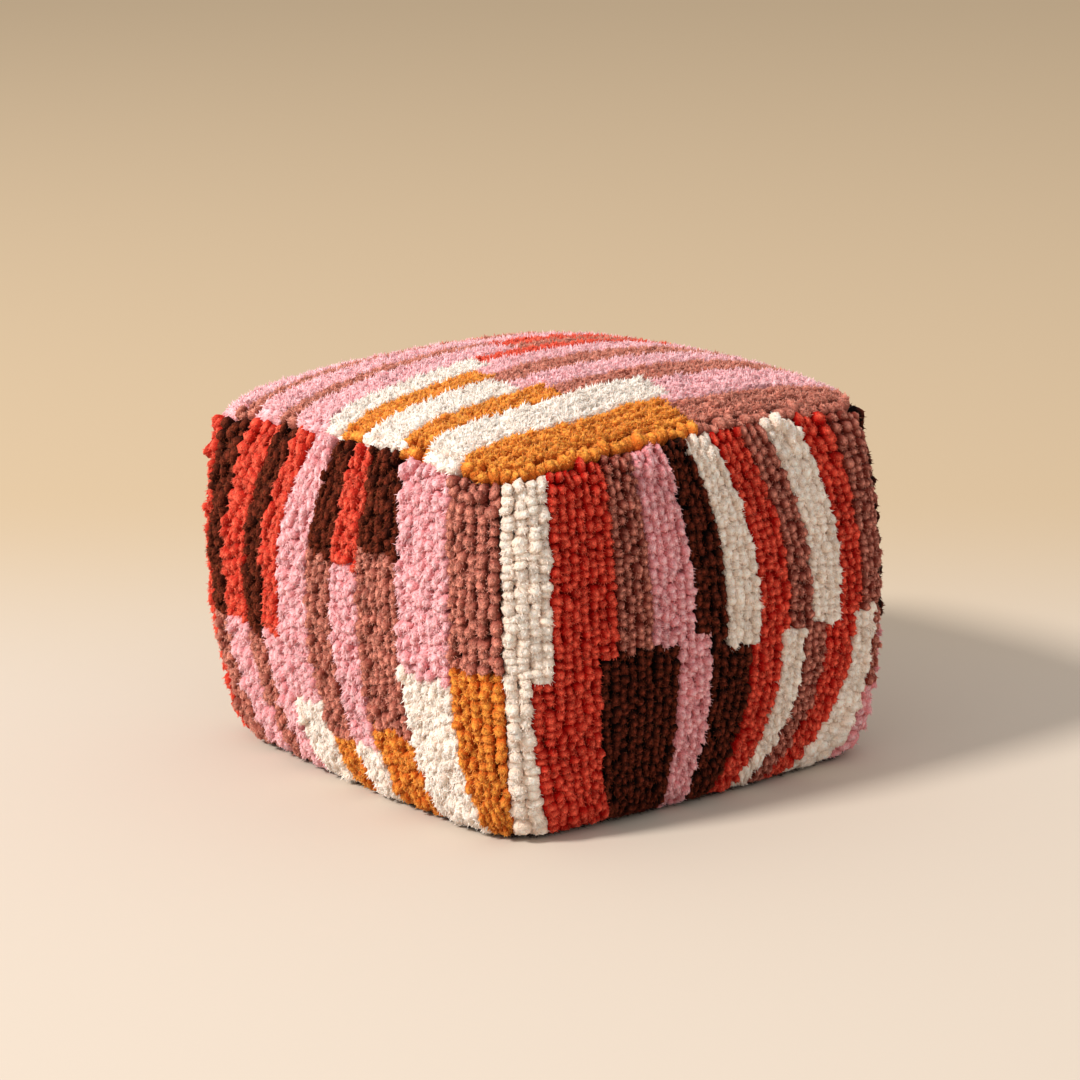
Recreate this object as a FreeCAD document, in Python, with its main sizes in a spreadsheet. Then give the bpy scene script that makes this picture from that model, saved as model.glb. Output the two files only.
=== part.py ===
import FreeCAD, Part
import math
import os
import re

import Sketcher

# A square floor pouf. The cover is five panels of tufted wool over backing cloth,
# closed below by a canvas base with a zip. The filling is a foam block wrapped in
# wadding inside a cotton liner. The pouf stands on z = 0 with its middle at x = y = 0.
# The front panel faces -y and the zip runs along x.

os.makedirs("parts", exist_ok=True)
doc = FreeCAD.newDocument("tufted_pouf")
UP = FreeCAD.Vector(0, 0, 1)
QUARTER = math.pi / 2

# Driving sizes in millimetres
SIZES = (
    ("plan_width", 510, "widest across two opposite sides, at the tips of the pile"),
    ("seam_height", 325, "floor to the seam between the sides and the top"),
    ("crown_rise", 50, "middle of the top above that seam"),
    ("side_bow", 2650, "radius of the bow of each side, seen from above"),
    ("corner_radius", 62, "radius of the upright corners, seen from above"),
    ("belly_height", 175, "floor to the widest line of the sides"),
    ("top_draw", 13, "drawing-in of the sides from the belly to the top seam"),
    ("base_tuck", 51, "tucking-in of the sides from the belly to the base seam"),
    ("edge_roll", 42, "radius of the rolled lower edge"),
    ("pile_height", 14, "length of the tufts"),
    ("backing_cloth", 2, "thickness of the backing cloth"),
    ("seam_tape", 1.5, "thickness of the tape over the seams"),
    ("seam_tape_width", 12, "width of that tape"),
    ("liner_cloth", 1, "thickness of the liner"),
    ("wadding_base", 20, "thickness of the wadding below the core"),
    ("wadding_wall", 24, "thickness of the wadding round the core, at the top seam"),
    ("layer_gap", 0.3, "play between one layer and the next"),
    ("base_cloth", 3, "thickness of the base canvas with its lining"),
    ("zip_slot", 18, "gap between the two hems of the base"),
    ("zip_rise", 8, "height of the hems that carry the zip"),
    ("zip_margin", 5, "inner edge of the wall to the end of the zip tape"),
    ("zip_end", 15, "bare tape beyond the teeth, at each end"),
    ("tape_width", 14, "width of one zip tape"),
    ("tape_thickness", 0.7, "thickness of the zip tape"),
    ("tooth_pitch", 2.6, "spacing of the teeth along one row"),
    ("tooth_length", 1.1, "length of a tooth along the zip"),
    ("tooth_height", 2.6, "height of a tooth"),
    ("tooth_reach", 3, "tape edge to the middle of the zip"),
    ("tooth_bite", 0.6, "reach of a tooth past the middle of the zip"),
    ("stop_length", 3, "length of the end stops"),
    ("run_gap", 0.25, "play between the slider and what runs in it"),
    ("slider_length", 12, "length of the slider"),
    ("slider_lip", 1.1, "side wall of the slider, at the tail"),
    ("slider_flare", 0.7, "how much wider each side of the slider is at the nose"),
    ("slider_plate", 1, "thickness of the slider's two plates"),
    ("diamond_width", 1.6, "width of the post that parts the teeth"),
    ("bridge_length", 7.2, "length of the bridge that holds the pull tab"),
    ("bridge_width", 2.4, "width of that bridge"),
    ("bridge_bar", 0.9, "thickness of that bridge"),
    ("bridge_gap", 1.8, "clear height under that bridge"),
    ("pull_length", 25, "length of the pull tab from its hinge"),
    ("pull_width", 6.8, "width of the pull tab"),
    ("pull_thickness", 1, "thickness of the pull tab"),
    ("pull_play", 0.7, "play between the bridge and the pull tab, on each side"),
    ("channel_room", 1.5, "room between the zip and the liner above it"),
)

sheet = doc.addObject("Spreadsheet::Sheet", "Sizes")
for row, (alias, number, meaning) in enumerate(SIZES, start=1):
    sheet.set(f"A{row}", meaning)
    sheet.set(f"B{row}", str(number))
    sheet.setAlias(f"B{row}", alias)
doc.recompute()
NAMES = {alias for alias, number, meaning in SIZES}


def cells(text):
    """The expression with each size written as its cell of the sheet."""
    return re.sub(r"[a-z_]+", lambda m: f"Sizes.{m[0]}" if m[0] in NAMES else m[0], text)


def size(text):
    """The value of an expression in the sizes."""
    return float(sheet.evalExpression(cells(text)))


def tie(thing, **expressions):
    """Binds properties of an object to expressions; a double underscore stands for a dot."""
    for name, text in expressions.items():
        thing.setExpression(name.replace("__", "."), cells(text))
    return thing


# Sketches

def sketch_on(body, name, role, height="0"):
    """An empty sketch on one of the body's own origin planes, raised by height."""
    plane = next(p for p in body.Origin.OriginFeatures if p.Role == role)
    sketch = body.newObject("Sketcher::SketchObject", name)
    sketch.AttachmentSupport = [(plane, "")]
    sketch.MapMode = "FlatFace"
    return tie(sketch, AttachmentOffset__Base__z=height)


def valued(kind, where, text):
    """A constraint with the expression its value follows."""
    return Sketcher.Constraint(kind, *where, size(text)), text


def bind(sketch, bonds):
    """Adds constraints, each with its expression or None."""
    first = sketch.ConstraintCount
    sketch.addConstraint([bond for bond, text in bonds])
    for number, (bond, text) in enumerate(bonds, start=first):
        if text:
            sketch.setExpression(f"Constraints[{number}]", cells(text))


def polygon(sketch, corners):
    """A closed outline whose corners follow pairs of expressions."""
    first = sketch.GeometryCount
    count = len(corners)
    spots = [FreeCAD.Vector(size(x), size(y), 0) for x, y in corners]
    edges = [Part.LineSegment(spots[i], spots[(i + 1) % count]) for i in range(count)]
    sketch.addGeometry(edges, False)
    bonds = []
    for i, (x, y) in enumerate(corners):
        after = first + (i + 1) % count
        bonds.append((Sketcher.Constraint("Coincident", first + i, 2, after, 1), None))
        bonds.append(valued("DistanceX", (-1, 1, first + i, 1), x))
        bonds.append(valued("DistanceY", (-1, 1, first + i, 1), y))
    bind(sketch, bonds)


def rectangle(sketch, left, low, right, high):
    """A closed rectangle between four expressions."""
    polygon(sketch, [(left, low), (right, low), (right, high), (left, high)])


def soft_square(body, name, height, half, corner, bow):
    """A square with bowed sides and rounded corners, all tangent, at a height."""
    sketch = sketch_on(body, name, "XY_Plane", height)
    corner_now = size(corner)
    bow_now = size(bow)
    back = bow_now - size(half)
    along = (math.sqrt(2 * (bow_now - corner_now) ** 2 - back**2) - back) / 2
    spread = math.atan2(along, along + back)
    arcs = []
    for turn in range(4):
        facing = (turn - 1) * QUARTER
        middle = FreeCAD.Vector(-back * math.cos(facing), -back * math.sin(facing), 0)
        nook = facing + QUARTER / 2
        pivot = FreeCAD.Vector(math.cos(nook), math.sin(nook), 0) * (along * math.sqrt(2))
        side = Part.Circle(middle, UP, bow_now)
        turned = Part.Circle(pivot, UP, corner_now)
        arcs.append(Part.ArcOfCircle(side, facing - spread, facing + spread))
        arcs.append(Part.ArcOfCircle(turned, facing + spread, facing + QUARTER - spread))
    sketch.addGeometry(arcs, False)
    bonds = []
    for i in range(8):
        bonds.append((Sketcher.Constraint("Tangent", i, 2, (i + 1) % 8, 1), None))
        bonds.append(valued("Radius", (i,), corner if i % 2 else bow))
    offsets = (("DistanceY", 1), ("DistanceX", -1), ("DistanceY", -1), ("DistanceX", 1))
    for turn, (kind, sign) in enumerate(offsets):
        axis = -2 if kind == "DistanceY" else -1
        bonds.append((Sketcher.Constraint("PointOnObject", 2 * turn, 3, axis), None))
        bonds.append(valued(kind, (-1, 1, 2 * turn, 3), f"{sign} * (({bow}) - ({half}))"))
    bind(sketch, bonds)
    return sketch


# Solids

def new_body(name):
    return doc.addObject("PartDesign::Body", name)


def pad(body, sketch, length, middle=False):
    """A pad of a sketch, upwards or to both sides of its plane."""
    feature = body.newObject("PartDesign::Pad", f"{sketch.Name}_pad")
    feature.Profile = sketch
    feature.SideType = "Symmetric" if middle else "One side"
    return tie(feature, Length=length)


def pocket(body, sketch, length):
    """A pocket to both sides of a sketch's plane."""
    feature = body.newObject("PartDesign::Pocket", f"{sketch.Name}_pocket")
    feature.Profile = sketch
    feature.SideType = "Symmetric"
    return tie(feature, Length=length)


def loft(name, sections):
    """A body lofted through soft squares, three at a time, each run starting where one ended."""
    body = new_body(name)
    drawn = [soft_square(body, f"{name}_{i}", *s) for i, s in enumerate(sections)]
    for first in range(0, len(drawn) - 1, 2):
        feature = body.newObject("PartDesign::AdditiveLoft", f"{name}_loft_{first}")
        feature.Profile = (drawn[first], [""])
        feature.Sections = [(sketch, [""]) for sketch in drawn[first + 1 : first + 3]]
    return body


def joined(kind, name, base, tool):
    """A boolean of two objects."""
    result = doc.addObject(kind, name)
    result.Base = base
    result.Tool = tool
    return result


def cut(name, base, tool):
    return joined("Part::Cut", name, base, tool)


def common(name, base, tool):
    return joined("Part::Common", name, base, tool)


def box(name, left, front, low, length, width, height):
    """A box placed by its lowest corner."""
    block = doc.addObject("Part::Box", name)
    tie(block, Length=length, Width=width, Height=height)
    return tie(block, Placement__Base__x=left, Placement__Base__y=front, Placement__Base__z=low)


def slab(name, low, high):
    """A slice of space wider than the pouf, between two heights."""
    span = "2 * plan_width"
    return box(name, "-plan_width", "-plan_width", low, span, span, f"({high}) - ({low})")


# Layers from the tips of the pile inwards, each as its inset from the outer form
HALF = "plan_width / 2"
BASE_HALF = "plan_width / 2 - base_tuck"
ROOT = "pile_height"
BACKING_FACE = f"{ROOT} + layer_gap"
BACKING_BACK = f"{BACKING_FACE} + backing_cloth"
TAPE_FACE = f"{BACKING_BACK} + layer_gap"
TAPE_BACK = f"{TAPE_FACE} + seam_tape"
LINER_FACE = f"{TAPE_BACK} + layer_gap"
LINER_BACK = f"{LINER_FACE} + liner_cloth"
FILL_FACE = f"{LINER_BACK} + layer_gap"

# Stations up the wall: height, and half the width there. The lower edge rolls through
# a quarter circle; above it the side swells to the belly and draws in to the top seam.
HALF_TURN = math.sqrt(0.5)
WALL = (
    ("base_cloth", BASE_HALF),
    (f"base_cloth + edge_roll * {1 - HALF_TURN:.4f}", f"{BASE_HALF} + edge_roll * {HALF_TURN:.4f}"),
    ("base_cloth + edge_roll", f"{BASE_HALF} + edge_roll"),
    ("belly_height", HALF),
    ("seam_height", f"{HALF} - top_draw"),
)

# Stations over the crown, as shares of the rim's width, and how steeply it falls off
CROWN = (1, 0.85, 0.65, 0.35, 0.05)
CROWN_POWER = 2.2


def wall_form(name, inset):
    """The inside of the side walls at a layer, from the base to the top seam."""
    corner = f"corner_radius - ({inset})"
    bow = f"side_bow - ({inset})"
    return loft(name, [(z, f"{half} - ({inset})", corner, bow) for z, half in WALL])


def crown_form(name, inset):
    """The inside of the crowned top at a layer, from the top seam up."""
    sections = []
    for share in CROWN:
        rise = f"(crown_rise - ({inset})) * {1 - share**CROWN_POWER:.4f}"
        half = f"({HALF} - top_draw - ({inset})) * {share}"
        corner = f"(corner_radius - ({inset})) * {share}"
        bow = f"(side_bow - ({inset})) * {share}"
        sections.append((f"seam_height + {rise}", half, corner, bow))
    return loft(name, sections)


# Cover: pile panels and their backing cloths
SIDES = (("front", -135), ("right", -45), ("back", 45), ("left", 135))

pile_shell = cut("pile_shell", wall_form("pile_tips", "0"), wall_form("pile_roots", ROOT))
cut("top_panel", crown_form("crown_tips", "0"), crown_form("crown_roots", ROOT))
backing_shell = cut(
    "backing_shell",
    wall_form("backing_face", BACKING_FACE),
    wall_form("backing_back", BACKING_BACK),
)
cut(
    "top_backing",
    crown_form("crown_backing_face", BACKING_FACE),
    crown_form("crown_backing_back", BACKING_BACK),
)
for side, angle in SIDES:
    quarter = doc.addObject("Part::Box", f"{side}_quarter")
    tie(quarter, Length="plan_width", Width="plan_width", Height="seam_height + crown_rise")
    quarter.Placement.Rotation = FreeCAD.Rotation(UP, angle)
    common(f"{side}_panel", pile_shell, quarter)
    common(f"{side}_backing", backing_shell, quarter)

# Tapes over the seams, on the inside of the backing
tape_shell = cut(
    "tape_shell", wall_form("tape_face", TAPE_FACE), wall_form("tape_back", TAPE_BACK)
)
TOP_TAPE_LOW = "seam_height - layer_gap - seam_tape_width"
BASE_TAPE_HIGH = "base_cloth + layer_gap + seam_tape_width"
top_band = slab("top_band", TOP_TAPE_LOW, "seam_height - layer_gap")
common("top_seam_tape", tape_shell, top_band)
base_band = slab("base_band", "base_cloth + layer_gap", BASE_TAPE_HIGH)
common("base_seam_tape", tape_shell, base_band)
CORNER_LOW = f"{BASE_TAPE_HIGH} + layer_gap"
CORNER_HIGH = f"{TOP_TAPE_LOW} - layer_gap"
strips = []
for number, angle in enumerate((45, -45), start=1):
    strip = new_body(f"diagonal_{number}")
    outline = sketch_on(strip, f"diagonal_outline_{number}", "XY_Plane", CORNER_LOW)
    edge = "seam_tape_width / 2"
    rectangle(outline, "-plan_width", f"-{edge}", "plan_width", edge)
    pad(strip, outline, f"{CORNER_HIGH} - ({CORNER_LOW})")
    strip.Placement.Rotation = FreeCAD.Rotation(UP, angle)
    strips.append(strip)
diagonals = joined("Part::Fuse", "diagonals", *strips)
common("corner_seam_tapes", tape_shell, diagonals)

# Base: two canvas halves, sewn together beyond the zip, with hems turned up beside it
ZIP_HALF = f"({BASE_HALF} - ({FILL_FACE}) - zip_margin)"
ZIP_LENGTH = f"2 * {ZIP_HALF}"
HEM_EDGE = "zip_slot / 2"
base_plate = new_body("base_plate")
base_outline = soft_square(
    base_plate, "base_outline", "0", BASE_HALF, "corner_radius", "side_bow"
)
pad(base_plate, base_outline, "base_cloth")
slot = box(
    "slot", f"-{ZIP_HALF}", f"-{HEM_EDGE}", "-base_cloth", ZIP_LENGTH, "zip_slot", "3 * base_cloth"
)
slotted_plate = cut("slotted_plate", base_plate, slot)
for side, near, hem_near in (
    ("front", "-plan_width", f"-{HEM_EDGE} - base_cloth"),
    ("rear", "0", HEM_EDGE),
):
    half_space = box(
        f"{side}_half", "-plan_width", near, "-base_cloth",
        "2 * plan_width", "plan_width", "3 * base_cloth",
    )
    cloth = common(f"{side}_cloth", slotted_plate, half_space)
    hem = box(f"{side}_hem", f"-{ZIP_HALF}", hem_near, "0", ZIP_LENGTH, "base_cloth", "zip_rise")
    joined("Part::Fuse", f"base_{side}_half", cloth, hem)

# Zip: tapes on the hems, rows of teeth, end stops
TOOTH_COUNT = f"floor(2 * ({ZIP_HALF} - zip_end) / tooth_pitch)"
CHAIN_HALF = f"({TOOTH_COUNT} * tooth_pitch / 2)"
ZIP_MIDDLE = "(zip_rise + tape_thickness / 2)"
TOOTH_LOW = f"{ZIP_MIDDLE} - tooth_height / 2"
for side, near in (("front", "-tooth_reach - tape_width"), ("rear", "tooth_reach")):
    box(
        f"zip_tape_{side}", f"-{ZIP_HALF}", near, "zip_rise",
        ZIP_LENGTH, "tape_width", "tape_thickness",
    )

teeth_wide = size("tooth_reach + tooth_bite")
for side, first, near in (
    ("front", f"-{CHAIN_HALF}", "-tooth_reach"),
    ("rear", f"-{CHAIN_HALF} + tooth_pitch / 2", "-tooth_bite"),
):
    row_start = FreeCAD.Vector(size(first), size(near), size(TOOTH_LOW))
    teeth = []
    for number in range(int(size(TOOTH_COUNT))):
        spot = row_start + FreeCAD.Vector(number * size("tooth_pitch"), 0, 0)
        teeth.append(Part.makeBox(size("tooth_length"), teeth_wide, size("tooth_height"), spot))
    row = doc.addObject("Part::Feature", f"zip_teeth_{side}")
    row.Shape = Part.makeCompound(teeth)

STOP_NEAR = "(diamond_width / 2 + run_gap)"
stop_ends = []
for side, near in (("front", "-tooth_reach"), ("rear", STOP_NEAR)):
    stop_ends.append(
        box(
            f"top_stop_{side}", f"{CHAIN_HALF} + tooth_length", near, TOOTH_LOW,
            "stop_length", f"tooth_reach - {STOP_NEAR}", "tooth_height",
        )
    )
joined("Part::Fuse", "zip_top_stops", *stop_ends)
box(
    "zip_bottom_stop", f"-{CHAIN_HALF} - run_gap - stop_length", "-tooth_reach", TOOTH_LOW,
    "stop_length", "2 * tooth_reach", "tooth_height",
)

# Slider: a block with a forked channel, slits for the tapes and a bridge below
CHANNEL_HALF = "(tooth_reach + run_gap)"
INNER_HALF = "(tooth_height / 2 + run_gap)"
OUTER_HALF = f"({INNER_HALF} + slider_plate)"
SLIDER_HALF = "slider_length / 2"
TAIL = f"({CHANNEL_HALF} + slider_lip)"
NOSE = f"({TAIL} + slider_flare)"
SLIDER_X = f"{CHAIN_HALF} + run_gap"
PAST = "slider_length"

slider = new_body("zip_slider")
plan = sketch_on(slider, "slider_plan", "XY_Plane")
polygon(
    plan,
    [
        (f"-{SLIDER_HALF}", f"-{TAIL}"),
        (SLIDER_HALF, f"-{NOSE}"),
        (SLIDER_HALF, NOSE),
        (f"-{SLIDER_HALF}", TAIL),
    ],
)
pad(slider, plan, f"2 * {OUTER_HALF}", middle=True)
fork = sketch_on(slider, "slider_fork", "XY_Plane")
POST = "diamond_width / 2"
polygon(
    fork,
    [
        (f"-{PAST}", f"-{CHANNEL_HALF}"),
        (PAST, f"-{CHANNEL_HALF}"),
        (PAST, f"-{POST}"),
        ("run_gap", f"-{POST}"),
        ("run_gap", POST),
        (PAST, POST),
        (PAST, CHANNEL_HALF),
        (f"-{PAST}", CHANNEL_HALF),
    ],
)
pocket(slider, fork, f"2 * {INNER_HALF}")
slits = sketch_on(slider, "slider_slits", "XY_Plane")
rectangle(slits, f"-{PAST}", "tooth_reach", PAST, PAST)
rectangle(slits, f"-{PAST}", f"-{PAST}", PAST, "-tooth_reach")
pocket(slider, slits, "tape_thickness + 2 * run_gap")
arch = sketch_on(slider, "slider_arch", "XZ_Plane")
ARCH_TOP = f"-{OUTER_HALF} + slider_plate / 2"
ARCH_INNER = f"-{OUTER_HALF} - bridge_gap"
ARCH_LOW = f"{ARCH_INNER} - bridge_bar"
LEG_OUT = "bridge_length / 2"
LEG_IN = "(bridge_length / 2 - bridge_bar)"
polygon(
    arch,
    [
        (f"-{LEG_OUT}", ARCH_TOP),
        (f"-{LEG_OUT}", ARCH_LOW),
        (LEG_OUT, ARCH_LOW),
        (LEG_OUT, ARCH_TOP),
        (LEG_IN, ARCH_TOP),
        (LEG_IN, ARCH_INNER),
        (f"-{LEG_IN}", ARCH_INNER),
        (f"-{LEG_IN}", ARCH_TOP),
    ],
)
pad(slider, arch, "bridge_width", middle=True)
tie(slider, Placement__Base__x=SLIDER_X, Placement__Base__z=ZIP_MIDDLE)

# Pull tab: a plate with a fork, and a round bar across the fork that turns in the bridge
pull = new_body("zip_pull_tab")
tab = sketch_on(pull, "tab_outline", "XY_Plane")
BAR = "pull_thickness / 2"
PULL_HALF = "pull_width / 2"
FORK_HALF = "(bridge_width / 2 + pull_play)"
FORK_OUT = f"({PULL_HALF} * 0.85)"
FORK_END = "(bridge_length / 2 + 2 * bridge_bar)"
polygon(
    tab,
    [
        (BAR, f"-{FORK_OUT}"),
        (BAR, f"-{FORK_HALF}"),
        (f"-{FORK_END}", f"-{FORK_HALF}"),
        (f"-{FORK_END}", FORK_HALF),
        (BAR, FORK_HALF),
        (BAR, FORK_OUT),
        ("-pull_length * 0.4", PULL_HALF),
        ("-pull_length * 0.88", PULL_HALF),
        ("-pull_length", f"{PULL_HALF} * 0.6"),
        ("-pull_length", f"-{PULL_HALF} * 0.6"),
        ("-pull_length * 0.88", f"-{PULL_HALF}"),
        ("-pull_length * 0.4", f"-{PULL_HALF}"),
    ],
)
pad(pull, tab, "pull_thickness", middle=True)
rod = sketch_on(pull, "rod_outline", "XZ_Plane")
rod.addGeometry(Part.Circle(FreeCAD.Vector(0, 0, 0), UP, size(BAR)), False)
centred = Sketcher.Constraint("Coincident", 0, 3, -1, 1)
bind(rod, [(centred, None), valued("Radius", (0,), BAR)])
pad(pull, rod, f"{FORK_HALF} + {FORK_OUT}", middle=True)
PULL_Z = f"{ZIP_MIDDLE} - {OUTER_HALF} - bridge_gap / 2"
tie(pull, Placement__Base__x=SLIDER_X, Placement__Base__z=PULL_Z)

# Filling: liner bag, wadding and core, with a channel over the zip
liner_shell = cut(
    "liner_wall", wall_form("liner_face", LINER_FACE), wall_form("liner_back", LINER_BACK)
)
cut(
    "liner_top",
    crown_form("crown_liner_face", LINER_FACE),
    crown_form("crown_liner_back", LINER_BACK),
)
fill = wall_form("fill_form", FILL_FACE)
SHEET_LOW = "base_cloth + layer_gap"
SHEET_HIGH = f"{SHEET_LOW} + liner_cloth"
ROOF_LOW = f"{ZIP_MIDDLE} + {OUTER_HALF} + channel_room"
ROOF_HIGH = f"{ROOF_LOW} + liner_cloth"
CHANNEL_IN = "(tooth_reach + tape_width + channel_room)"
CHANNEL_OUT = f"({CHANNEL_IN} + liner_cloth)"
hat = new_body("liner_hat")
hat_outline = sketch_on(hat, "hat_outline", "YZ_Plane")
polygon(
    hat_outline,
    [
        ("-plan_width", SHEET_LOW),
        (f"-{CHANNEL_IN}", SHEET_LOW),
        (f"-{CHANNEL_IN}", ROOF_LOW),
        (CHANNEL_IN, ROOF_LOW),
        (CHANNEL_IN, SHEET_LOW),
        ("plan_width", SHEET_LOW),
        ("plan_width", SHEET_HIGH),
        (CHANNEL_OUT, SHEET_HIGH),
        (CHANNEL_OUT, ROOF_HIGH),
        (f"-{CHANNEL_OUT}", ROOF_HIGH),
        (f"-{CHANNEL_OUT}", SHEET_HIGH),
        ("-plan_width", SHEET_HIGH),
    ],
)
pad(hat, hat_outline, "2 * plan_width", middle=True)
common("liner_base", hat, fill)

WAD_LOW = f"{SHEET_HIGH} + layer_gap"
WAD_HIGH = f"{WAD_LOW} + wadding_base"
ROOM_HALF = f"({CHANNEL_OUT} + layer_gap)"
ROOM_TOP = f"{ROOF_HIGH} + layer_gap"
low_slab = slab("low_slab", WAD_LOW, WAD_HIGH)
room = box(
    "zip_room", "-plan_width", f"-{ROOM_HALF}", "0", "2 * plan_width", f"2 * {ROOM_HALF}", ROOM_TOP
)
common("wadding_base", cut("grooved_slab", low_slab, room), fill)

CORE_LOW = f"{WAD_HIGH} + layer_gap"
CORE_HALF = f"{HALF} - top_draw - ({FILL_FACE}) - wadding_wall"
CORE_CORNER = f"corner_radius - ({FILL_FACE})"
core = new_body("foam_core")
core_outline = soft_square(core, "core_outline", CORE_LOW, CORE_HALF, CORE_CORNER, "side_bow")
pad(core, core_outline, f"seam_height - ({CORE_LOW})")
nest = new_body("core_nest")
nest_outline = soft_square(
    nest,
    "nest_outline",
    "0",
    f"{CORE_HALF} + layer_gap",
    f"{CORE_CORNER} + layer_gap",
    "side_bow + layer_gap",
)
pad(nest, nest_outline, "seam_height + crown_rise")
upper_slab = slab("upper_slab", CORE_LOW, "seam_height")
cut("wadding_wall", common("wadding_band", fill, upper_slab), nest)
crown_form("wadding_top", FILL_FACE)
doc.recompute()

# Every piece is checked, then written
PIECES = (
    "top_panel", "front_panel", "right_panel", "back_panel", "left_panel",
    "top_backing", "front_backing", "right_backing", "back_backing", "left_backing",
    "top_seam_tape", "base_seam_tape", "corner_seam_tapes",
    "base_front_half", "base_rear_half",
    "zip_tape_front", "zip_tape_rear", "zip_teeth_front", "zip_teeth_rear",
    "zip_top_stops", "zip_bottom_stop", "zip_slider", "zip_pull_tab",
    "liner_top", "liner_wall", "liner_base",
    "wadding_top", "wadding_wall", "wadding_base", "foam_core",
)
for thing in doc.Objects:
    if "Invalid" in thing.State or "Error" in thing.State:
        raise ValueError(f"{thing.Label} did not build: {thing.State}")
pieces = {label: doc.getObjectsByLabel(label)[0] for label in PIECES}
for label, piece in pieces.items():
    if piece.Shape.isNull() or not piece.Shape.isValid():
        raise ValueError(f"{label} has no valid shape")
for label, piece in pieces.items():
    piece.Shape.exportStep(f"parts/{label}.step")
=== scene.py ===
# %% [markdown]
# A square floor pouf, covered with knotted wool pile in broken stripes.
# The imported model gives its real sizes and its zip, and this lesson gives it
# its cloth, its yarn and its light. Every length below is in metres.

# %% Load the frame
import math

import bpy
import numpy as np
from mathutils.bvhtree import BVHTree
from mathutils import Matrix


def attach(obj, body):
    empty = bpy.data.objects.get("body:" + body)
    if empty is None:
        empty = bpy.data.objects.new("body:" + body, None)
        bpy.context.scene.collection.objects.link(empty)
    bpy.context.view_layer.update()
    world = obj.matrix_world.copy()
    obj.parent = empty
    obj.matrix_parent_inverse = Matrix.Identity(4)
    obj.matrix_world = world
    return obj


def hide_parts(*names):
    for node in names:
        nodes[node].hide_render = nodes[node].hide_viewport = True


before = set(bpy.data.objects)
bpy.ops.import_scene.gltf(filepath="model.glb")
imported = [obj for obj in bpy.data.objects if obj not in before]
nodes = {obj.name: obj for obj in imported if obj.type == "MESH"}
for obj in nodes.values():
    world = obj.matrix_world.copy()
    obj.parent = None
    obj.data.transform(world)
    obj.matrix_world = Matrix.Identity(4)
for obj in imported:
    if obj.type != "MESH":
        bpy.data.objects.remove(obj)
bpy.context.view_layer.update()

# %% [markdown]
# Shader nodes can be wired by hand, but sums are easier to read as sums.
# The small class below wraps one socket, so that 1 - mask or 0.8 + tone adds
# the Math node for it. Any other kind of node comes from its one method.


# %% A socket that can be added up
class Wire:
    """One output of a node, or a bare node tree to start from."""

    def __init__(self, tree, socket=None):
        self.tree = tree
        self.socket = socket

    def node(self, kind, settings=None, inputs=None, out=0):
        made = self.tree.nodes.new(kind)
        for key, value in (settings or {}).items():
            setattr(made, key, value)
        for key, value in (inputs or {}).items():
            if isinstance(value, Wire):
                self.tree.links.new(value.socket, made.inputs[key])
            else:
                made.inputs[key].default_value = value
        return Wire(self.tree, made.outputs[out])

    def math(self, operation, first, second):
        return self.node("ShaderNodeMath", {"operation": operation}, {0: first, 1: second})

    def __add__(self, other):
        return self.math("ADD", self, other)

    def __radd__(self, other):
        return self.math("ADD", other, self)

    def __sub__(self, other):
        return self.math("SUBTRACT", self, other)

    def __rsub__(self, other):
        return self.math("SUBTRACT", other, self)

    def __mul__(self, other):
        return self.math("MULTIPLY", self, other)

    def __rmul__(self, other):
        return self.math("MULTIPLY", other, self)

    def blend(self, first, second):
        """A colour that goes from first to second as this value goes from 0 to 1."""
        return self.node(
            "ShaderNodeMix", {"data_type": "RGBA"}, {0: self, 6: first, 7: second}, out=2
        )

    def scaled(self, value):
        """This colour, lighter or darker."""
        return self.node("ShaderNodeVectorMath", {"operation": "SCALE"}, {0: self, 3: value})

    def into(self, shader, socket):
        self.tree.links.new(self.socket, shader.inputs[socket])


def dye(red, green, blue):
    """A colour as the eye reads it, 0 to 255, turned into the light it sends back."""
    parts = np.array([red, green, blue]) / 255.0
    linear = np.where(parts <= 0.04045, parts / 12.92, ((parts + 0.055) / 1.055) ** 2.4)
    return (*linear.tolist(), 1.0)


SHEEN_SPREAD = 0.45


def new_finish(name, values):
    """A material, the place on its surface to wire from, and its shader with these values set."""
    made = bpy.data.materials.new(name)
    made.use_nodes = True
    shader = made.node_tree.nodes["Principled BSDF"]
    for key, value in values.items():
        shader.inputs[key].default_value = value
    place = Wire(made.node_tree).node("ShaderNodeTexCoord", out=3)
    return made, place, shader


def noise(place, scale, detail=2.0):
    """Soft random blotches, so many to the metre."""
    inputs = {"Vector": place, "Scale": scale, "Detail": detail}
    return place.node("ShaderNodeTexNoise", None, inputs)


def raise_relief(shader, height, strength, distance):
    """Lets a pattern stand out of the surface by Bump."""
    settings = {"Strength": strength, "Distance": distance, "Height": height}
    height.node("ShaderNodeBump", None, settings).into(shader, "Normal")


print("shader tools ready")
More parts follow.
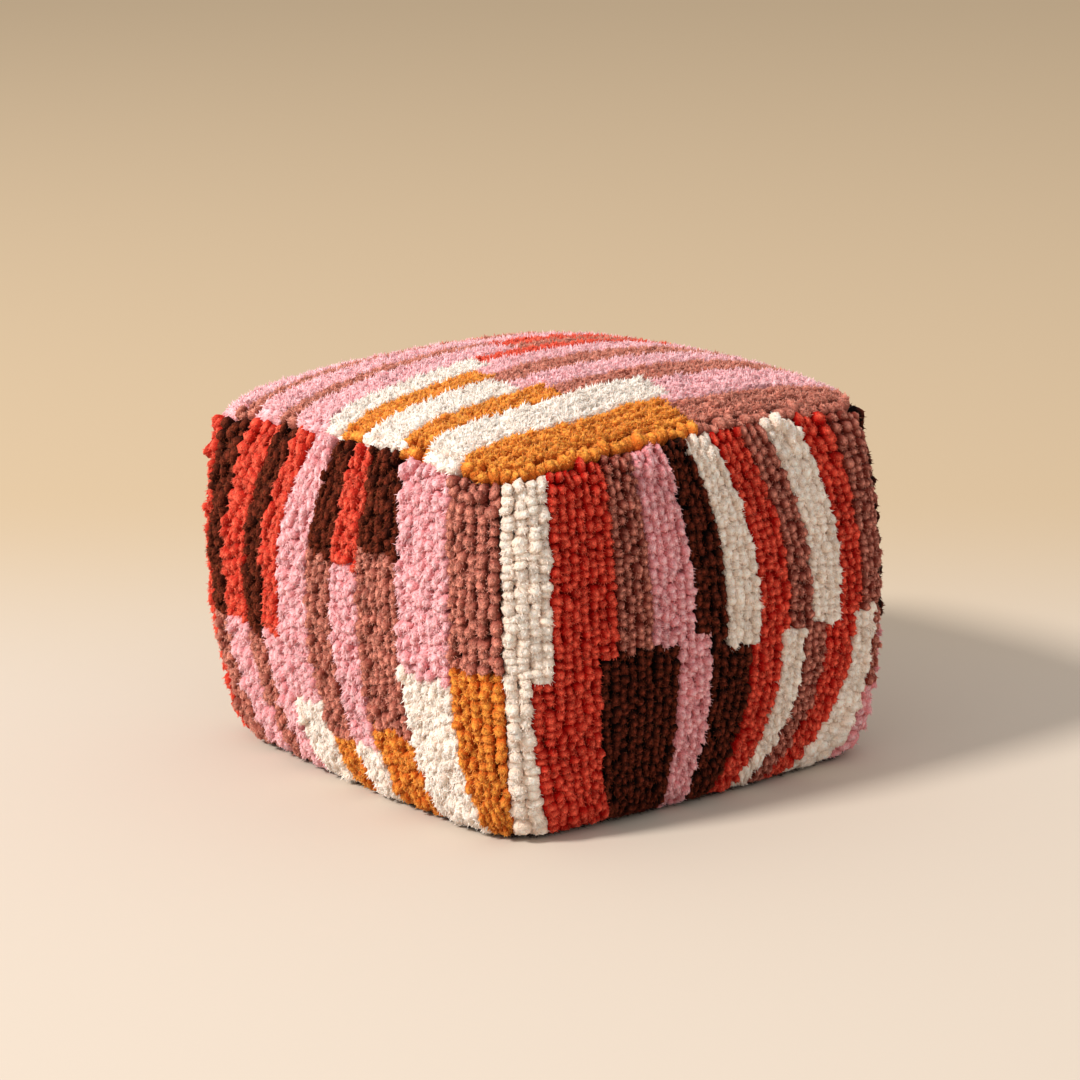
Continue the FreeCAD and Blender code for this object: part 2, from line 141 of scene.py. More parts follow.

# %% [markdown]
# Wool yarn is matt and a little furry. Each knob of pile is painted darker at
# its root: painted shade for the light lost between its neighbours. No two knobs
# took the dye quite alike. So each knob carries two numbers of its own: depth,
# from root to tip, which sets how much painted shade it gets, and tone. Fine
# noise stands for the fibres, both in colour and in relief. A yarn is given as
# its colour at the tip, the painted shade at its root, and how strongly its
# fibres are speckled.

# %% The six yarns
# For each yarn: its colour at the tip, the painted shade at its root, and its speckle.
YARN_COLOURS_AND_ROOT_SHADE = {
    "pink": ((253, 207, 212), (220, 130, 134), 0.8),
    "rose": ((230, 150, 130), (112, 38, 28), 1.3),
    "coral": ((255, 107, 81), (166, 8, 4), 1.3),
    "brown": ((122, 50, 32), (5, 1, 0), 2.0),
    "cream": ((253, 246, 239), (236, 211, 192), 0.45),
    "ochre": ((252, 170, 73), (176, 58, 5), 1.3),
}
FELT_SCALE, FELT_SHARE = 400.0, 0.8
FIBRE_SCALE, FIBRE_SHARE = 1000.0, 1.3
PATCH_SCALE, PATCH_SHARE = 26.0, 0.3
TONE_SHARE = 0.28
PLAIN_LIGHT = 0.7
FIBRE_RELIEF = 0.4


def wool(name, lit, root_shade, speckle):
    """The finish of one yarn."""
    made, place, shader = new_finish("yarn_" + name, {
        "Roughness": 0.95, "Specular IOR Level": 0.08,
        "Sheen Weight": 0.04, "Sheen Roughness": SHEEN_SPREAD, "Sheen Tint": dye(*lit),
        "Subsurface Weight": 0.3, "Subsurface Radius": (1.0, 0.6, 0.5),
        "Subsurface Scale": 0.003,
    })
    depth, tone = [
        place.node("ShaderNodeAttribute", {"attribute_name": key}, out=2)
        for key in ("depth", "tone")
    ]
    felt, fibre, patch = [noise(place, scale) for scale in (FELT_SCALE, FIBRE_SCALE, PATCH_SCALE)]
    even = (FELT_SHARE + FIBRE_SHARE) / 2
    grain = speckle * (FELT_SHARE * felt + FIBRE_SHARE * fibre - even)
    lightness = TONE_SHARE * tone + grain + PATCH_SHARE * patch + PLAIN_LIGHT
    # Painted shade: the colour runs from the root shade to the tip colour as depth rises.
    (depth * depth).blend(dye(*root_shade), dye(*lit)).scaled(lightness).into(shader, "Base Color")
    raise_relief(shader, felt + FIBRE_RELIEF * fibre, strength=0.8, distance=0.003)
    return made


YARNS = {name: wool(name, *recipe) for name, recipe in YARN_COLOURS_AND_ROOT_SHADE.items()}
print("yarns dyed:", ", ".join(YARNS))

# %% [markdown]
# Under the pile is the stuffed bag: backing cloth, liner, wadding and foam.
# It could be drawn as a block with rounded edges, but a stuffed bag swells
# between its seams. So copies of those nodes are joined, remeshed into one
# skin, and blown up a little by Cloth with the seams pinned down. How far a
# point may move is capped.


# %% Helpers for objects
def add_object(name, data):
    """A new object in the scene."""
    made = bpy.data.objects.new(name, data)
    bpy.context.scene.collection.objects.link(made)
    return made


def only(obj):
    """Selects obj and nothing else."""
    bpy.ops.object.select_all(action="DESELECT")
    obj.select_set(True)
    bpy.context.view_layer.objects.active = obj


def mode(name):
    """Goes into EDIT or OBJECT mode."""
    bpy.ops.object.mode_set(mode=name)


def settle(obj, modifier):
    """Makes what a modifier does to obj the shape of its mesh."""
    only(obj)
    bpy.ops.object.modifier_apply(modifier=modifier.name)


def dress(obj, finish):
    """Gives obj one finish and no other."""
    obj.data.materials.clear()
    obj.data.materials.append(finish)


# %% Join the stuffing into one skin
SAME_CORNER = 0.00002


def copy_of(name, *sources):
    """One new object with the meshes of these CAD nodes, merged where corners meet."""
    copies = [add_object(name, nodes[source].data.copy()) for source in sources]
    only(copies[0])
    for copy in copies:
        copy.select_set(True)
    if len(copies) > 1:
        bpy.ops.object.join()
    mode("EDIT")
    bpy.ops.mesh.select_all(action="SELECT")
    bpy.ops.mesh.remove_doubles(threshold=SAME_CORNER)
    mode("OBJECT")
    return copies[0]


SIDES = ("front", "right", "back", "left")
BACKINGS = ["top_backing"] + [side + "_backing" for side in SIDES]
LINERS = ["liner_top", "liner_wall", "liner_base"]
WADDINGS = ["wadding_top", "wadding_wall", "wadding_base"]
VOXEL = 0.006

bag = copy_of("stuffed_bag", *BACKINGS, *LINERS, *WADDINGS, "foam_core")
remesh = bag.modifiers.new("skin", "REMESH")
remesh.mode = "VOXEL"
remesh.voxel_size = VOXEL
settle(bag, remesh)
print("skin points:", len(bag.data.vertices), "faces:", len(bag.data.polygons))


# %% Blow the bag up between its seams
def points_of(mesh, what="co"):
    """The places of a mesh's points, or their normals."""
    flat = np.empty(len(mesh.vertices) * 3)
    mesh.vertices.foreach_get(what, flat)
    return flat.reshape(-1, 3)


PRESSURE = 4.0
SWELL_LIMIT = 0.006
SEAM_REACH = 0.010
LAST_FRAME = 20
SIDE_RISE = 0.75
RIM_FROM = 0.29
RIM_RISE = (0.3, 0.8)
BASE_TO = 0.03

rest = points_of(bag.data)
rise = points_of(bag.data, "normal")[:, 2]
on_corner = np.abs(np.abs(rest[:, 0]) - np.abs(rest[:, 1])) < SEAM_REACH
on_corner &= rise < SIDE_RISE
on_rim = (rest[:, 2] > RIM_FROM) & (rise > RIM_RISE[0]) & (rise < RIM_RISE[1])
on_base = rest[:, 2] < BASE_TO
seams = bag.vertex_groups.new(name="seams")
seams.add(np.flatnonzero(on_corner | on_rim | on_base).tolist(), 1.0, "REPLACE")

cloth = bag.modifiers.new("stuffing", "CLOTH")
cloth.settings.use_pressure = True
cloth.settings.uniform_pressure_force = PRESSURE
cloth.settings.effector_weights.gravity = 0.0
cloth.settings.vertex_group_mass = "seams"
cloth.point_cache.frame_end = LAST_FRAME
for frame_number in range(1, LAST_FRAME + 1):
    bpy.context.scene.frame_set(frame_number)
settle(bag, cloth)
swelling = points_of(bag.data) - rest
reach = np.linalg.norm(swelling, axis=1)
swelling *= np.minimum(1.0, SWELL_LIMIT / np.maximum(reach, 1e-9))[:, None]
bag.data.vertices.foreach_set("co", (rest + swelling).ravel())
bag.data.update()
print("swelling, mean and most:", reach.mean().round(4), reach.max().round(4))
bpy.context.scene.frame_set(1)

smooth = bag.modifiers.new("ease", "SMOOTH")
smooth.factor = 0.5
smooth.iterations = 6
settle(bag, smooth)
skin = BVHTree.FromObject(bag, bpy.context.evaluated_depsgraph_get())
print("pinned points:", int((on_corner | on_rim | on_base).sum()), "of", len(rest))

# %% [markdown]
# A pouf that has been sat on doesn't stand quite true: its top has shifted
# over a little, its corners sag, and the middle of each top edge is lifted
# by the stuffing. One smooth movement of space does this for every soft piece
# alike, so that nothing inside pokes through. At the floor it moves nothing.

# %% The lean of a used cushion
SEAM_HEIGHT = 0.325
HALF_WIDTH = 0.255
LEAN = (0.0056, -0.0044)
SHIFT = (-0.0126, 0.0069)
TWIST = math.radians(0.8)
EDGE_LIFT = 0.0101
CORNER_DROP = 0.014


def slump(points):
    """Where points of the upright pouf come to lie."""
    x, y, z = points.T
    height = z / SEAM_HEIGHT
    turn = TWIST * height
    near_axis = np.minimum(np.abs(x), np.abs(y)) / HALF_WIDTH
    up = np.clip(height, 0.0, 1.0)
    lift = EDGE_LIFT * (1.0 - near_axis**2) * up**4
    lift = lift - CORNER_DROP * near_axis**4 * up**6
    tilt = (LEAN[0] * x + LEAN[1] * y) / HALF_WIDTH * height
    moved_x = x * np.cos(turn) - y * np.sin(turn) + SHIFT[0] * height
    moved_y = x * np.sin(turn) + y * np.cos(turn) + SHIFT[1] * height
    return np.column_stack([moved_x, moved_y, z + tilt + lift])


corner = np.array([[-0.24, -0.24, SEAM_HEIGHT]])
print("a top corner moves from", corner.tolist(), "to", slump(corner).round(4).tolist())

# %% [markdown]
# The pile is knotted in columns up each side and in ridges across the top.
# To tie a knot in the right place, the cloth is measured as a weaver would:
# round the side from corner seam to corner seam, and down from the top seam
# to the base, in equal steps along the cloth itself. Level rays from outside
# find the skin. The stripes are charted in columns and rows, and the knots are
# a little finer than the chart.

# %% Measure the cloth
COLUMNS = 42
ROWS = 34
RIDGES = 40
KNOTS_ACROSS = 46
KNOTS_DOWN = {"front": 45, "right": 43, "back": 43, "left": 41}
TOP_LINES = 2 * RIDGES
TOP_KNOTS = 78
LINE_SPREAD = 0.14
FACING = {"front": -90.0, "right": 0.0, "back": 90.0, "left": 180.0}
WALL_TOP = 0.3238
WALL_LOW = 0.0060
OUTSIDE = 0.5
PROFILE_STEPS = 140
QUARTER = np.linspace(-45.0, 45.0, 91)
FULL_TURN = np.linspace(-180.0, 180.0, 361)


def middles(count):
    """The middles of so many equal steps from 0 to 1."""
    return (np.arange(count) + 0.5) / count


def steps_of(points):
    """The distance from each point of a line to the next."""
    return np.linalg.norm(np.diff(points, axis=0), axis=1)


def along(points, shares):
    """Points at these shares of the length of a line, from 0 to 1."""
    lengths = np.concatenate([[0.0], np.cumsum(steps_of(points))])
    at = np.asarray(shares) * lengths[-1]
    return np.column_stack([np.interp(at, lengths, points[:, k]) for k in range(3)])


def ring_at(height, angles):
    """Where rays from outside, level and towards the axis, meet the skin."""
    points = []
    for turn in np.radians(angles):
        x, y = math.cos(turn), math.sin(turn)
        points.append(skin.ray_cast((OUTSIDE * x, OUTSIDE * y, height), (-x, -y, 0))[0])
    return np.array(points)


COLUMN_SLIDE = 0.38


def staggered(grid, chance):
    """The same knots, each column slid up or down a little, as if tied one column at a time."""
    rows = np.arange(len(grid))
    moved = grid.copy()
    for j, slide in enumerate(chance.uniform(-COLUMN_SLIDE, COLUMN_SLIDE, grid.shape[1])):
        at = np.clip(rows + slide, 0, rows[-1])
        for k in range(3):
            moved[:, j, k] = np.interp(at, rows, grid[:, j, k])
    return moved


def side_grid(side, bend):
    """Root points of a side's knots, by row from the top and column from its first corner."""
    heights = np.linspace(WALL_TOP, WALL_LOW, PROFILE_STEPS)
    profile = np.array([ring_at(height, [FACING[side]])[0] for height in heights])
    row = middles(KNOTS_DOWN[side])
    column = middles(KNOTS_ACROSS)
    grid = []
    for share, height in zip(row, along(profile, row)[:, 2]):
        line = ring_at(height, FACING[side] + QUARTER)
        shares = column + bend(column * COLUMNS, share * ROWS) / COLUMNS
        grid.append(along(line, shares))
    return staggered(np.array(grid), np.random.default_rng(SIDES.index(side)))


print("girth at the top seam:", steps_of(ring_at(WALL_TOP, FULL_TURN)).sum().round(4))

# %% Measure the top
ABOVE = 0.6
TOP_REACH = 0.2290
RIM_HEIGHT = 0.3258
RIM_STEP = 0.0080
RIM_CLEAR = 0.0060


def ridge_lines():
    """Two lines of knots make a ridge, drawn together so that a furrow is left beside it."""
    pair = np.tile([-LINE_SPREAD, LINE_SPREAD], RIDGES)
    return (np.repeat(np.arange(RIDGES), 2) + 0.5 + pair) / RIDGES


def top_grid(bend):
    """Root points of the top's knots, by line from the front, and which are on the cloth."""
    grid = np.zeros((TOP_LINES, TOP_KNOTS, 3))
    held = np.zeros((TOP_LINES, TOP_KNOTS), dtype=bool)
    for i, ridge in enumerate(ridge_lines() * 2 - 1):
        for j, x in enumerate((middles(TOP_KNOTS) * 2 - 1) * TOP_REACH):
            y = ridge * TOP_REACH + bend(x, ridge)
            point = skin.ray_cast((x, y, ABOVE), (0, 0, -1))[0]
            inside = point is not None and point.z > RIM_HEIGHT
            if inside:
                turn = math.degrees(math.atan2(y, x))
                rim = ring_at(RIM_HEIGHT, [turn])[0]
                inside = math.hypot(rim[0], rim[1]) - math.hypot(x, y) > RIM_CLEAR
                grid[i, j] = point
            held[i, j] = inside
    return grid, held


def rim_line():
    """Root points of the one row of knots that follows the top seam all the way round."""
    loop = ring_at(RIM_HEIGHT, FULL_TURN)
    count = int(steps_of(loop).sum() / RIM_STEP)
    return along(loop, np.arange(count) / count)


RIM = rim_line()
print("knots on the rim:", len(RIM))


# %% [markdown]
# The cloth is not woven perfectly square, and stuffing pulls it about, so the
# stripes bow: on the front and on the left they run towards the near corner as
# they climb. A bend of so many columns, fading down the panel, gives each panel
# its own draw.


# %% The bow of the stripes
CLIMB_ROWS = 14.0
FRONT_BOW, LEFT_BOW, PLAIN_BOW = -4.2, 5.0, 1.5
FRONT_SPREAD, FRONT_GATHER = 1.3, 0.11
LEFT_DRIFT = 1.3
RIDGE_BACK, RIDGE_AHEAD = 0.009, 0.008


def hump(value, middle, width):
    """1 at the middle, falling away on both sides."""
    return np.exp(-(((value - middle) / width) ** 2))


def fade(column, edge=5.0):
    """0 at both corner seams, 1 further in, so that the seams stay where they are."""
    return np.clip(column / edge, 0, 1) * np.clip((COLUMNS - column) / edge, 0, 1)


def climb(row):
    """1 at the top seam, 0 from the last climbing row down."""
    return np.clip((CLIMB_ROWS - row) / CLIMB_ROWS, 0, 1) ** 2


def drop(row, first, length):
    """0 down to the first row, then more and more towards the base."""
    return np.clip((row - first) / length, 0, 1.5) ** 2


def front_bend(column, row):
    """In columns: towards the near corner above, and gathered below."""
    upper = FRONT_BOW * hump(column, middle=29.0, width=13.0) * climb(row)
    gather = FRONT_SPREAD - FRONT_GATHER * column
    return fade(column) * (upper + gather * drop(row, first=20.0, length=8.0))


def left_bend(column, row):
    """In columns: towards the near corner above, and a little below."""
    upper = LEFT_BOW * hump(column, middle=12.0, width=12.5) * climb(row)
    return fade(column) * (upper + LEFT_DRIFT * drop(row, first=18.0, length=10.0))


def plain_bend(column, row):
    """In columns: towards the middle of the panel above."""
    return fade(column) * PLAIN_BOW * np.sin(column / COLUMNS * 2 * math.pi) * climb(row)


def top_bend(x, ridge):
    """In metres: the ridges waver at their left ends, most of all at the front."""
    wave = RIDGE_BACK * hump(x, middle=-0.19, width=0.045)
    wave = wave - RIDGE_AHEAD * hump(x, middle=-0.10, width=0.05)
    return wave * (1.0 - ridge) / 2.0


BENDS = {"front": front_bend, "right": plain_bend, "back": plain_bend, "left": left_bend}
GRIDS = {side: side_grid(side, BENDS[side]) for side in SIDES}
GRIDS["top"], TOP_HELD = top_grid(top_bend)
print("top knots:", int(TOP_HELD.sum()))

# %% [markdown]
# The stripes are a weaver's chart. A side is a list of stripes, each so many
# columns wide, with its first yarn, and then each row where another yarn takes
# over: 2 cream 18 coral is two columns of cream, and coral from row 18 down.
# The top has stripes along its ridges: each near one breaks off at its own
# step, in metres to the right of the middle, where the far chart takes over.
# The back and right sides aren't seen in the picture, and carry the same kind
# of stripes.

# %% The weaver's chart
SIDE_CHARTS = {
    "front": """
        2 cream; 2 cream 18 coral; 4 coral; 2 coral 17 brown; 4 rose 17 brown;
        2 pink 17 brown; 2 pink; 2 brown 17 pink; 2 brown; 3 cream 18 brown;
        1 cream 18 coral; 2 coral; 1 coral 18 cream; 2 rose 18 cream; 1 rose;
        2 cream 18 rose; 2 cream 18 coral; 1 coral; 1 coral 18 cream; 2 rose 18 cream;
        2 rose 26 pink""",
    "left": """
        2 coral; 3 brown 19 rose; 3 coral 19 pink; 3 brown 20 rose; 3 coral 19 pink;
        4 pink 25 cream; 4 brown 10 rose 27 ochre; 4 coral 10 pink 27 cream;
        5 brown 8 rose 25 ochre; 6 pink 18 cream; 5 rose 17 ochre""",
    "right": """
        3 brown 20 pink; 5 coral 16 rose; 4 pink 16 cream; 4 rose 12 ochre;
        5 cream 17 brown; 4 ochre 17 coral; 4 brown 17 pink; 5 coral 15 rose;
        4 cream 22 coral; 4 rose 18 brown""",
    "back": """
        4 brown 17 pink; 4 pink 17 rose; 5 rose 17 cream; 4 cream 14 coral;
        4 coral 20 brown; 5 ochre 20 pink; 4 cream 16 ochre; 5 brown 16 rose;
        4 pink 16 cream; 3 coral""",
}
TOP_NEAR = [
    ("ochre", 5, 0.000), ("cream", 4, 0.018), ("ochre", 3, -0.070), ("cream", 4, -0.094),
    ("ochre", 3, -0.083), ("cream", 3, -0.058), ("pink", 4, 0.008), ("rose", 2, 0.008),
    ("pink", 4, 0.030), ("rose", 2, 0.030), ("pink", 5, 0.030), ("coral", 1, -0.020),
]
TOP_FAR = [
    ("rose", 4), ("pink", 4), ("rose", 3), ("pink", 3), ("rose", 3), ("pink", 3),
    ("coral", 2), ("rose", 2), ("coral", 3), ("pink", 3), ("rose", 3), ("coral", 3),
    ("pink", 4),
]


def side_colours(side):
    """The yarn of each knot of a side, by row and column."""
    chart = np.empty((ROWS, COLUMNS), dtype=object)
    column = 0
    for stripe in SIDE_CHARTS[side].split(";"):
        width, *runs = stripe.split()
        last = column + int(width)
        for first, yarn in zip([0] + runs[1::2], runs[::2]):
            chart[int(first):, column:last] = yarn
        column = last
    assert column == COLUMNS, (side, column)
    row = (middles(KNOTS_DOWN[side]) * ROWS).astype(int)
    column = (middles(KNOTS_ACROSS) * COLUMNS).astype(int)
    return chart[np.ix_(row, column)]


def top_colours():
    """The yarn of each knot of the top, by line and place along it."""
    chart = np.empty((RIDGES, TOP_KNOTS), dtype=object)
    x = (middles(TOP_KNOTS) * 2 - 1) * TOP_REACH
    ridge = 0
    for yarn, count in TOP_FAR:
        chart[ridge:ridge + count] = yarn
        ridge += count
    ridge = 0
    for yarn, count, step in TOP_NEAR:
        chart[ridge:ridge + count, x < step] = yarn
        ridge += count
    return chart[(middles(TOP_LINES) * RIDGES).astype(int)]


CHARTS = {side: side_colours(side) for side in SIDES}
CHARTS["top"] = top_colours()
print("colours on the front:", sorted(set(CHARTS["front"].ravel())))

# %% [markdown]
# One knob of pile is a thick soft yarn, tied round the backing and cut: narrow
# at its root, full above, blunt at its end. It is modelled once from a small
# ball, ring by ring, in a few versions, and copied thousands of times. A knob
# seen this often has only a few dozen faces. Its own flat map is a disc with
# the tip in the middle and the root all round.


# %% Model the knobs of yarn
def unit(vectors):
    """The same directions, each one metre long."""
    return vectors / np.maximum(np.linalg.norm(vectors, axis=-1, keepdims=True), 1e-9)


def pick(obj, wanted):
    """In edit mode, selects the points of obj for which wanted is true."""
    mode("EDIT")
    bpy.ops.mesh.select_mode(type="VERT")
    bpy.ops.mesh.select_all(action="DESELECT")
    mode("OBJECT")
    for vertex in obj.data.vertices:
        vertex.select = wanted(vertex.co)
    mode("EDIT")


SQUARENESS = 1.07
NEAR = 0.01
# Share of the tip colour by height on a knob: the lower rings get painted shade.
LIT_FROM = (-0.3, 0.3, 0.8, 1.0)
LIT_SHARE = (0.0, 0.0, 0.42, 1.0)


def disc_places(ball):
    """Where each corner of a ball's faces lies on a disc from 0 to 1, by number of corners."""
    points = points_of(ball.data)
    height = np.arccos(np.clip(points[:, 2], -1, 1)) / math.pi
    around = unit(points * [1.0, 1.0, 0.0])
    places = {3: [], 4: []}
    for face in ball.data.polygons:
        corners = list(face.vertices)[::-1]
        middle = unit(around[corners].sum(axis=0))
        ways = [middle if height[c] > 0.99 else around[c] for c in corners]
        places[len(corners)].append([0.5 + 0.5 * height[c] * w[:2] for c, w in zip(corners, ways)])
    return {count: np.array(found) for count, found in places.items()}


def model_knob(name, rings):
    """Shapes a ball ring by ring, from its foot up: how wide and long, and how far it slides.

    Across, down and out are left-handed, so the corners of each face are listed backwards. Then
    the faces of the copies point outwards."""
    bpy.ops.object.select_all(action="DESELECT")
    bpy.ops.mesh.primitive_uv_sphere_add(segments=8, ring_count=5, radius=1.0)
    knob = bpy.context.object
    knob.name = name
    places = disc_places(knob)
    pick(knob, lambda point: abs(abs(point.x) - abs(point.y)) < NEAR and abs(point.x) > 0.1)
    bpy.ops.transform.resize(value=(SQUARENESS, SQUARENESS, 1.0), center_override=(0, 0, 0))
    levels = sorted({round(vertex.co.z, 3) for vertex in knob.data.vertices})
    # Depth is the share of the tip colour: the root and lower sides get painted shade.
    depth = np.interp([vertex.co.z for vertex in knob.data.vertices], LIT_FROM, LIT_SHARE)
    for level, (wide, long, slide) in zip(levels, rings):
        pick(knob, lambda point: abs(point.z - level) < NEAR)
        bpy.ops.transform.resize(value=(wide, long, 1.0), center_override=(0, 0, level))
        bpy.ops.transform.translate(value=slide)
        mode("OBJECT")
    points = points_of(knob.data)
    faces = [list(face.vertices)[::-1] for face in knob.data.polygons]
    bpy.data.objects.remove(knob)
    return points, faces, depth, places


KNOBS = [
    model_knob("knob_blunt", [
        (1, 1, (0, 0, 0)), (1.60, 1.60, (0, 0, 0)), (1.20, 1.20, (0, 0, 0)),
        (1.22, 1.22, (0, 0, 0.16)), (1.32, 1.32, (0, 0, 0.03)), (1, 1, (0, 0, -0.02)),
    ]),
    model_knob("knob_broad", [
        (1, 1, (0, 0, 0)), (1.60, 1.50, (0, 0, 0)), (1.22, 1.16, (0, 0, 0)),
        (1.26, 1.16, (0.03, 0, 0.14)), (1.44, 1.20, (0.06, 0, 0.0)), (1, 1, (0.08, 0, -0.06)),
    ]),
    model_knob("knob_sloped", [
        (1, 1, (0, 0, 0)), (1.50, 1.60, (0, 0, 0)), (1.16, 1.20, (0, 0.02, 0)),
        (1.18, 1.22, (0, 0.06, 0.16)), (1.20, 1.34, (0, 0.14, 0.04)), (1, 1, (0, 0.24, 0.0)),
    ]),
    model_knob("knob_bent", [
        (1, 1, (-0.1, 0, 0)), (1.60, 1.60, (-0.06, 0, 0)), (1.20, 1.20, (0, 0, 0)),
        (1.20, 1.20, (0.04, 0.03, 0.14)), (1.26, 1.28, (0.12, 0.05, 0.0)),
        (1, 1, (0.18, 0.08, -0.05)),
    ]),
]
print("knobs:", [(len(points), len(faces)) for points, faces, *_ in KNOBS])

# %% [markdown]
# A knot needs its own directions: out of the cloth, across to the next column
# and along to the next row. Near a seam the directions of both panels are
# averaged, so that the pile fans out over the edge as it does on a real one.
# Knots near a seam have more freedom: each knot's wildness says how much.

# %% Directions for each knot
FAN_REACH = 0.014
TIP_REACH = 0.011
SEAM_WILD = (1.0, 0.5)
CORNER_WILD = 0.4
RIM_WIDE, RIM_LONG = 1.6, 0.80


def outward(points, across, along_ridge):
    """The way the pile stands: the skin's normals about each point, averaged."""
    total = np.zeros_like(points)
    for a, b in [(0, 0), (1, 0), (-1, 0), (0, 1), (0, -1)]:
        probe = points + FAN_REACH * (a * across + b * along_ridge)
        total += np.array([skin.find_nearest(p)[1] for p in probe])
    return unit(total)


def frame_spots(place, across, along_ridge, wide, long, yarn, wild):
    """All that is known of some knots. Wild is 0 in the field and 1 at a seam."""
    out = outward(place, across, along_ridge)
    across = unit(across - out * np.sum(across * out, axis=1, keepdims=True))
    return {
        "place": place, "out": out, "across": across, "down": np.cross(across, out),
        "wide": wide, "long": long, "yarn": yarn, "wild": wild,
    }


def side_knots(side):
    """A knot has as much room as there is between the tips of its neighbours."""
    grid = GRIDS[side]
    flat = grid.reshape(-1, 3)
    across = unit(np.gradient(grid, axis=1)).reshape(-1, 3)
    down = unit(np.gradient(grid, axis=0)).reshape(-1, 3)
    tips = (flat + TIP_REACH * outward(flat, across, down)).reshape(grid.shape)
    wide = np.linalg.norm(np.gradient(tips, axis=1), axis=2).ravel()
    long = np.linalg.norm(np.gradient(tips, axis=0), axis=2).ravel()
    wild = np.zeros(grid.shape[:2])
    wild[0], wild[1] = SEAM_WILD
    wild[:, [0, -1]] = np.maximum(wild[:, [0, -1]], CORNER_WILD)
    return frame_spots(flat, across, down, wide, long, CHARTS[side].ravel(), wild.ravel())


def top_knots():
    """The ridges run left to right, so across is from ridge to ridge. The rim comes last."""
    place = GRIDS["top"][TOP_HELD]
    count = len(place)
    ahead = np.tile([0.0, 1.0, 0.0], (count, 1))
    aside = np.tile([-1.0, 0.0, 0.0], (count, 1))
    wide = np.full(count, 2 * TOP_REACH / TOP_LINES)
    long = np.full(count, 2 * TOP_REACH / TOP_KNOTS)
    line = np.clip((RIM[:, 1] / TOP_REACH + 1) / 2 * TOP_LINES, 0, TOP_LINES - 1).astype(int)
    knot = np.clip((RIM[:, 0] / TOP_REACH + 1) / 2 * TOP_KNOTS, 0, TOP_KNOTS - 1).astype(int)
    round_rim = unit(np.roll(RIM, -1, axis=0) - np.roll(RIM, 1, axis=0))
    away = np.cross(round_rim, [0.0, 0.0, 1.0])
    return frame_spots(
        np.concatenate([place, RIM]),
        np.concatenate([ahead, away]),
        np.concatenate([aside, round_rim]),
        np.concatenate([wide, np.full(len(RIM), RIM_STEP * RIM_WIDE)]),
        np.concatenate([long, np.full(len(RIM), RIM_STEP * RIM_LONG)]),
        np.concatenate([CHARTS["top"][TOP_HELD], CHARTS["top"][line, knot]]),
        np.concatenate([np.zeros(count), np.ones(len(RIM))]),
    )


KNOTS = {side: side_knots(side) for side in SIDES}
KNOTS["top"] = top_knots()
for panel, spot in KNOTS.items():
    print(panel, len(spot["place"]), "knots, room", spot["wide"].mean().round(4),
          "by", spot["long"].mean().round(4))

# %% [markdown]
# Tying the pile: each copy of a knob is scaled to the room it has, turned and
# leaned a little at random from a fixed seed, and stood on its spot. Each panel
# has its own habits: run and girth are the length and width of its knobs, uneven
# how much their heights differ, lean and nap how far they lean anyhow and all
# together, and shade how much painted shade darkens the roots and the gaps
# between them: most on the front, which faces away from the lamp, least on the
# top. Strands is how many loose strands stand out of a knob, fluff and fibre are
# their length and thickness, and hang is how far they are drawn down by their
# weight.

# %% The habits of each panel
PILE_HEIGHT = 0.0135
ROOT_SINK = 0.0022
UNSEEN = {
    "strands": 11, "fluff": 1.3, "fibre": 0.0008, "hang": 0.6, "lean": 0.0012,
    "nap": 0.0025, "uneven": 0.09, "shade": 0.9, "run": 1.22, "girth": 0.95,
}
HABITS = {
    "top": {
        "strands": 16, "fluff": 1.3, "fibre": 0.0010, "hang": 0.6, "lean": 0.0014,
        "nap": 0.0, "uneven": 0.06, "shade": 0.5, "run": 1.45, "girth": 1.0,
    },
    "left": {
        "strands": 24, "fluff": 1.1, "fibre": 0.0007, "hang": 0.9, "lean": 0.0012,
        "nap": 0.0038, "uneven": 0.12, "shade": 0.66, "run": 1.16, "girth": 0.82,
    },
    "front": {
        "strands": 20, "fluff": 1.0, "fibre": 0.0006, "hang": 0.7, "lean": 0.0010,
        "nap": 0.0022, "uneven": 0.08, "shade": 0.96, "run": 1.14, "girth": 0.90,
    },
    "right": UNSEEN,
    "back": UNSEEN,
}
FULLNESS = {
    "pink": 1.04, "rose": 0.99, "coral": 1.0, "brown": 1.0, "cream": 1.14, "ochre": 1.02,
}
LOOSENESS = {
    "pink": 1.12, "rose": 1.0, "coral": 1.0, "brown": 1.0, "cream": 1.2, "ochre": 1.0,
}
print("strands on a knob:", {panel: habit["strands"] for panel, habit in HABITS.items()})


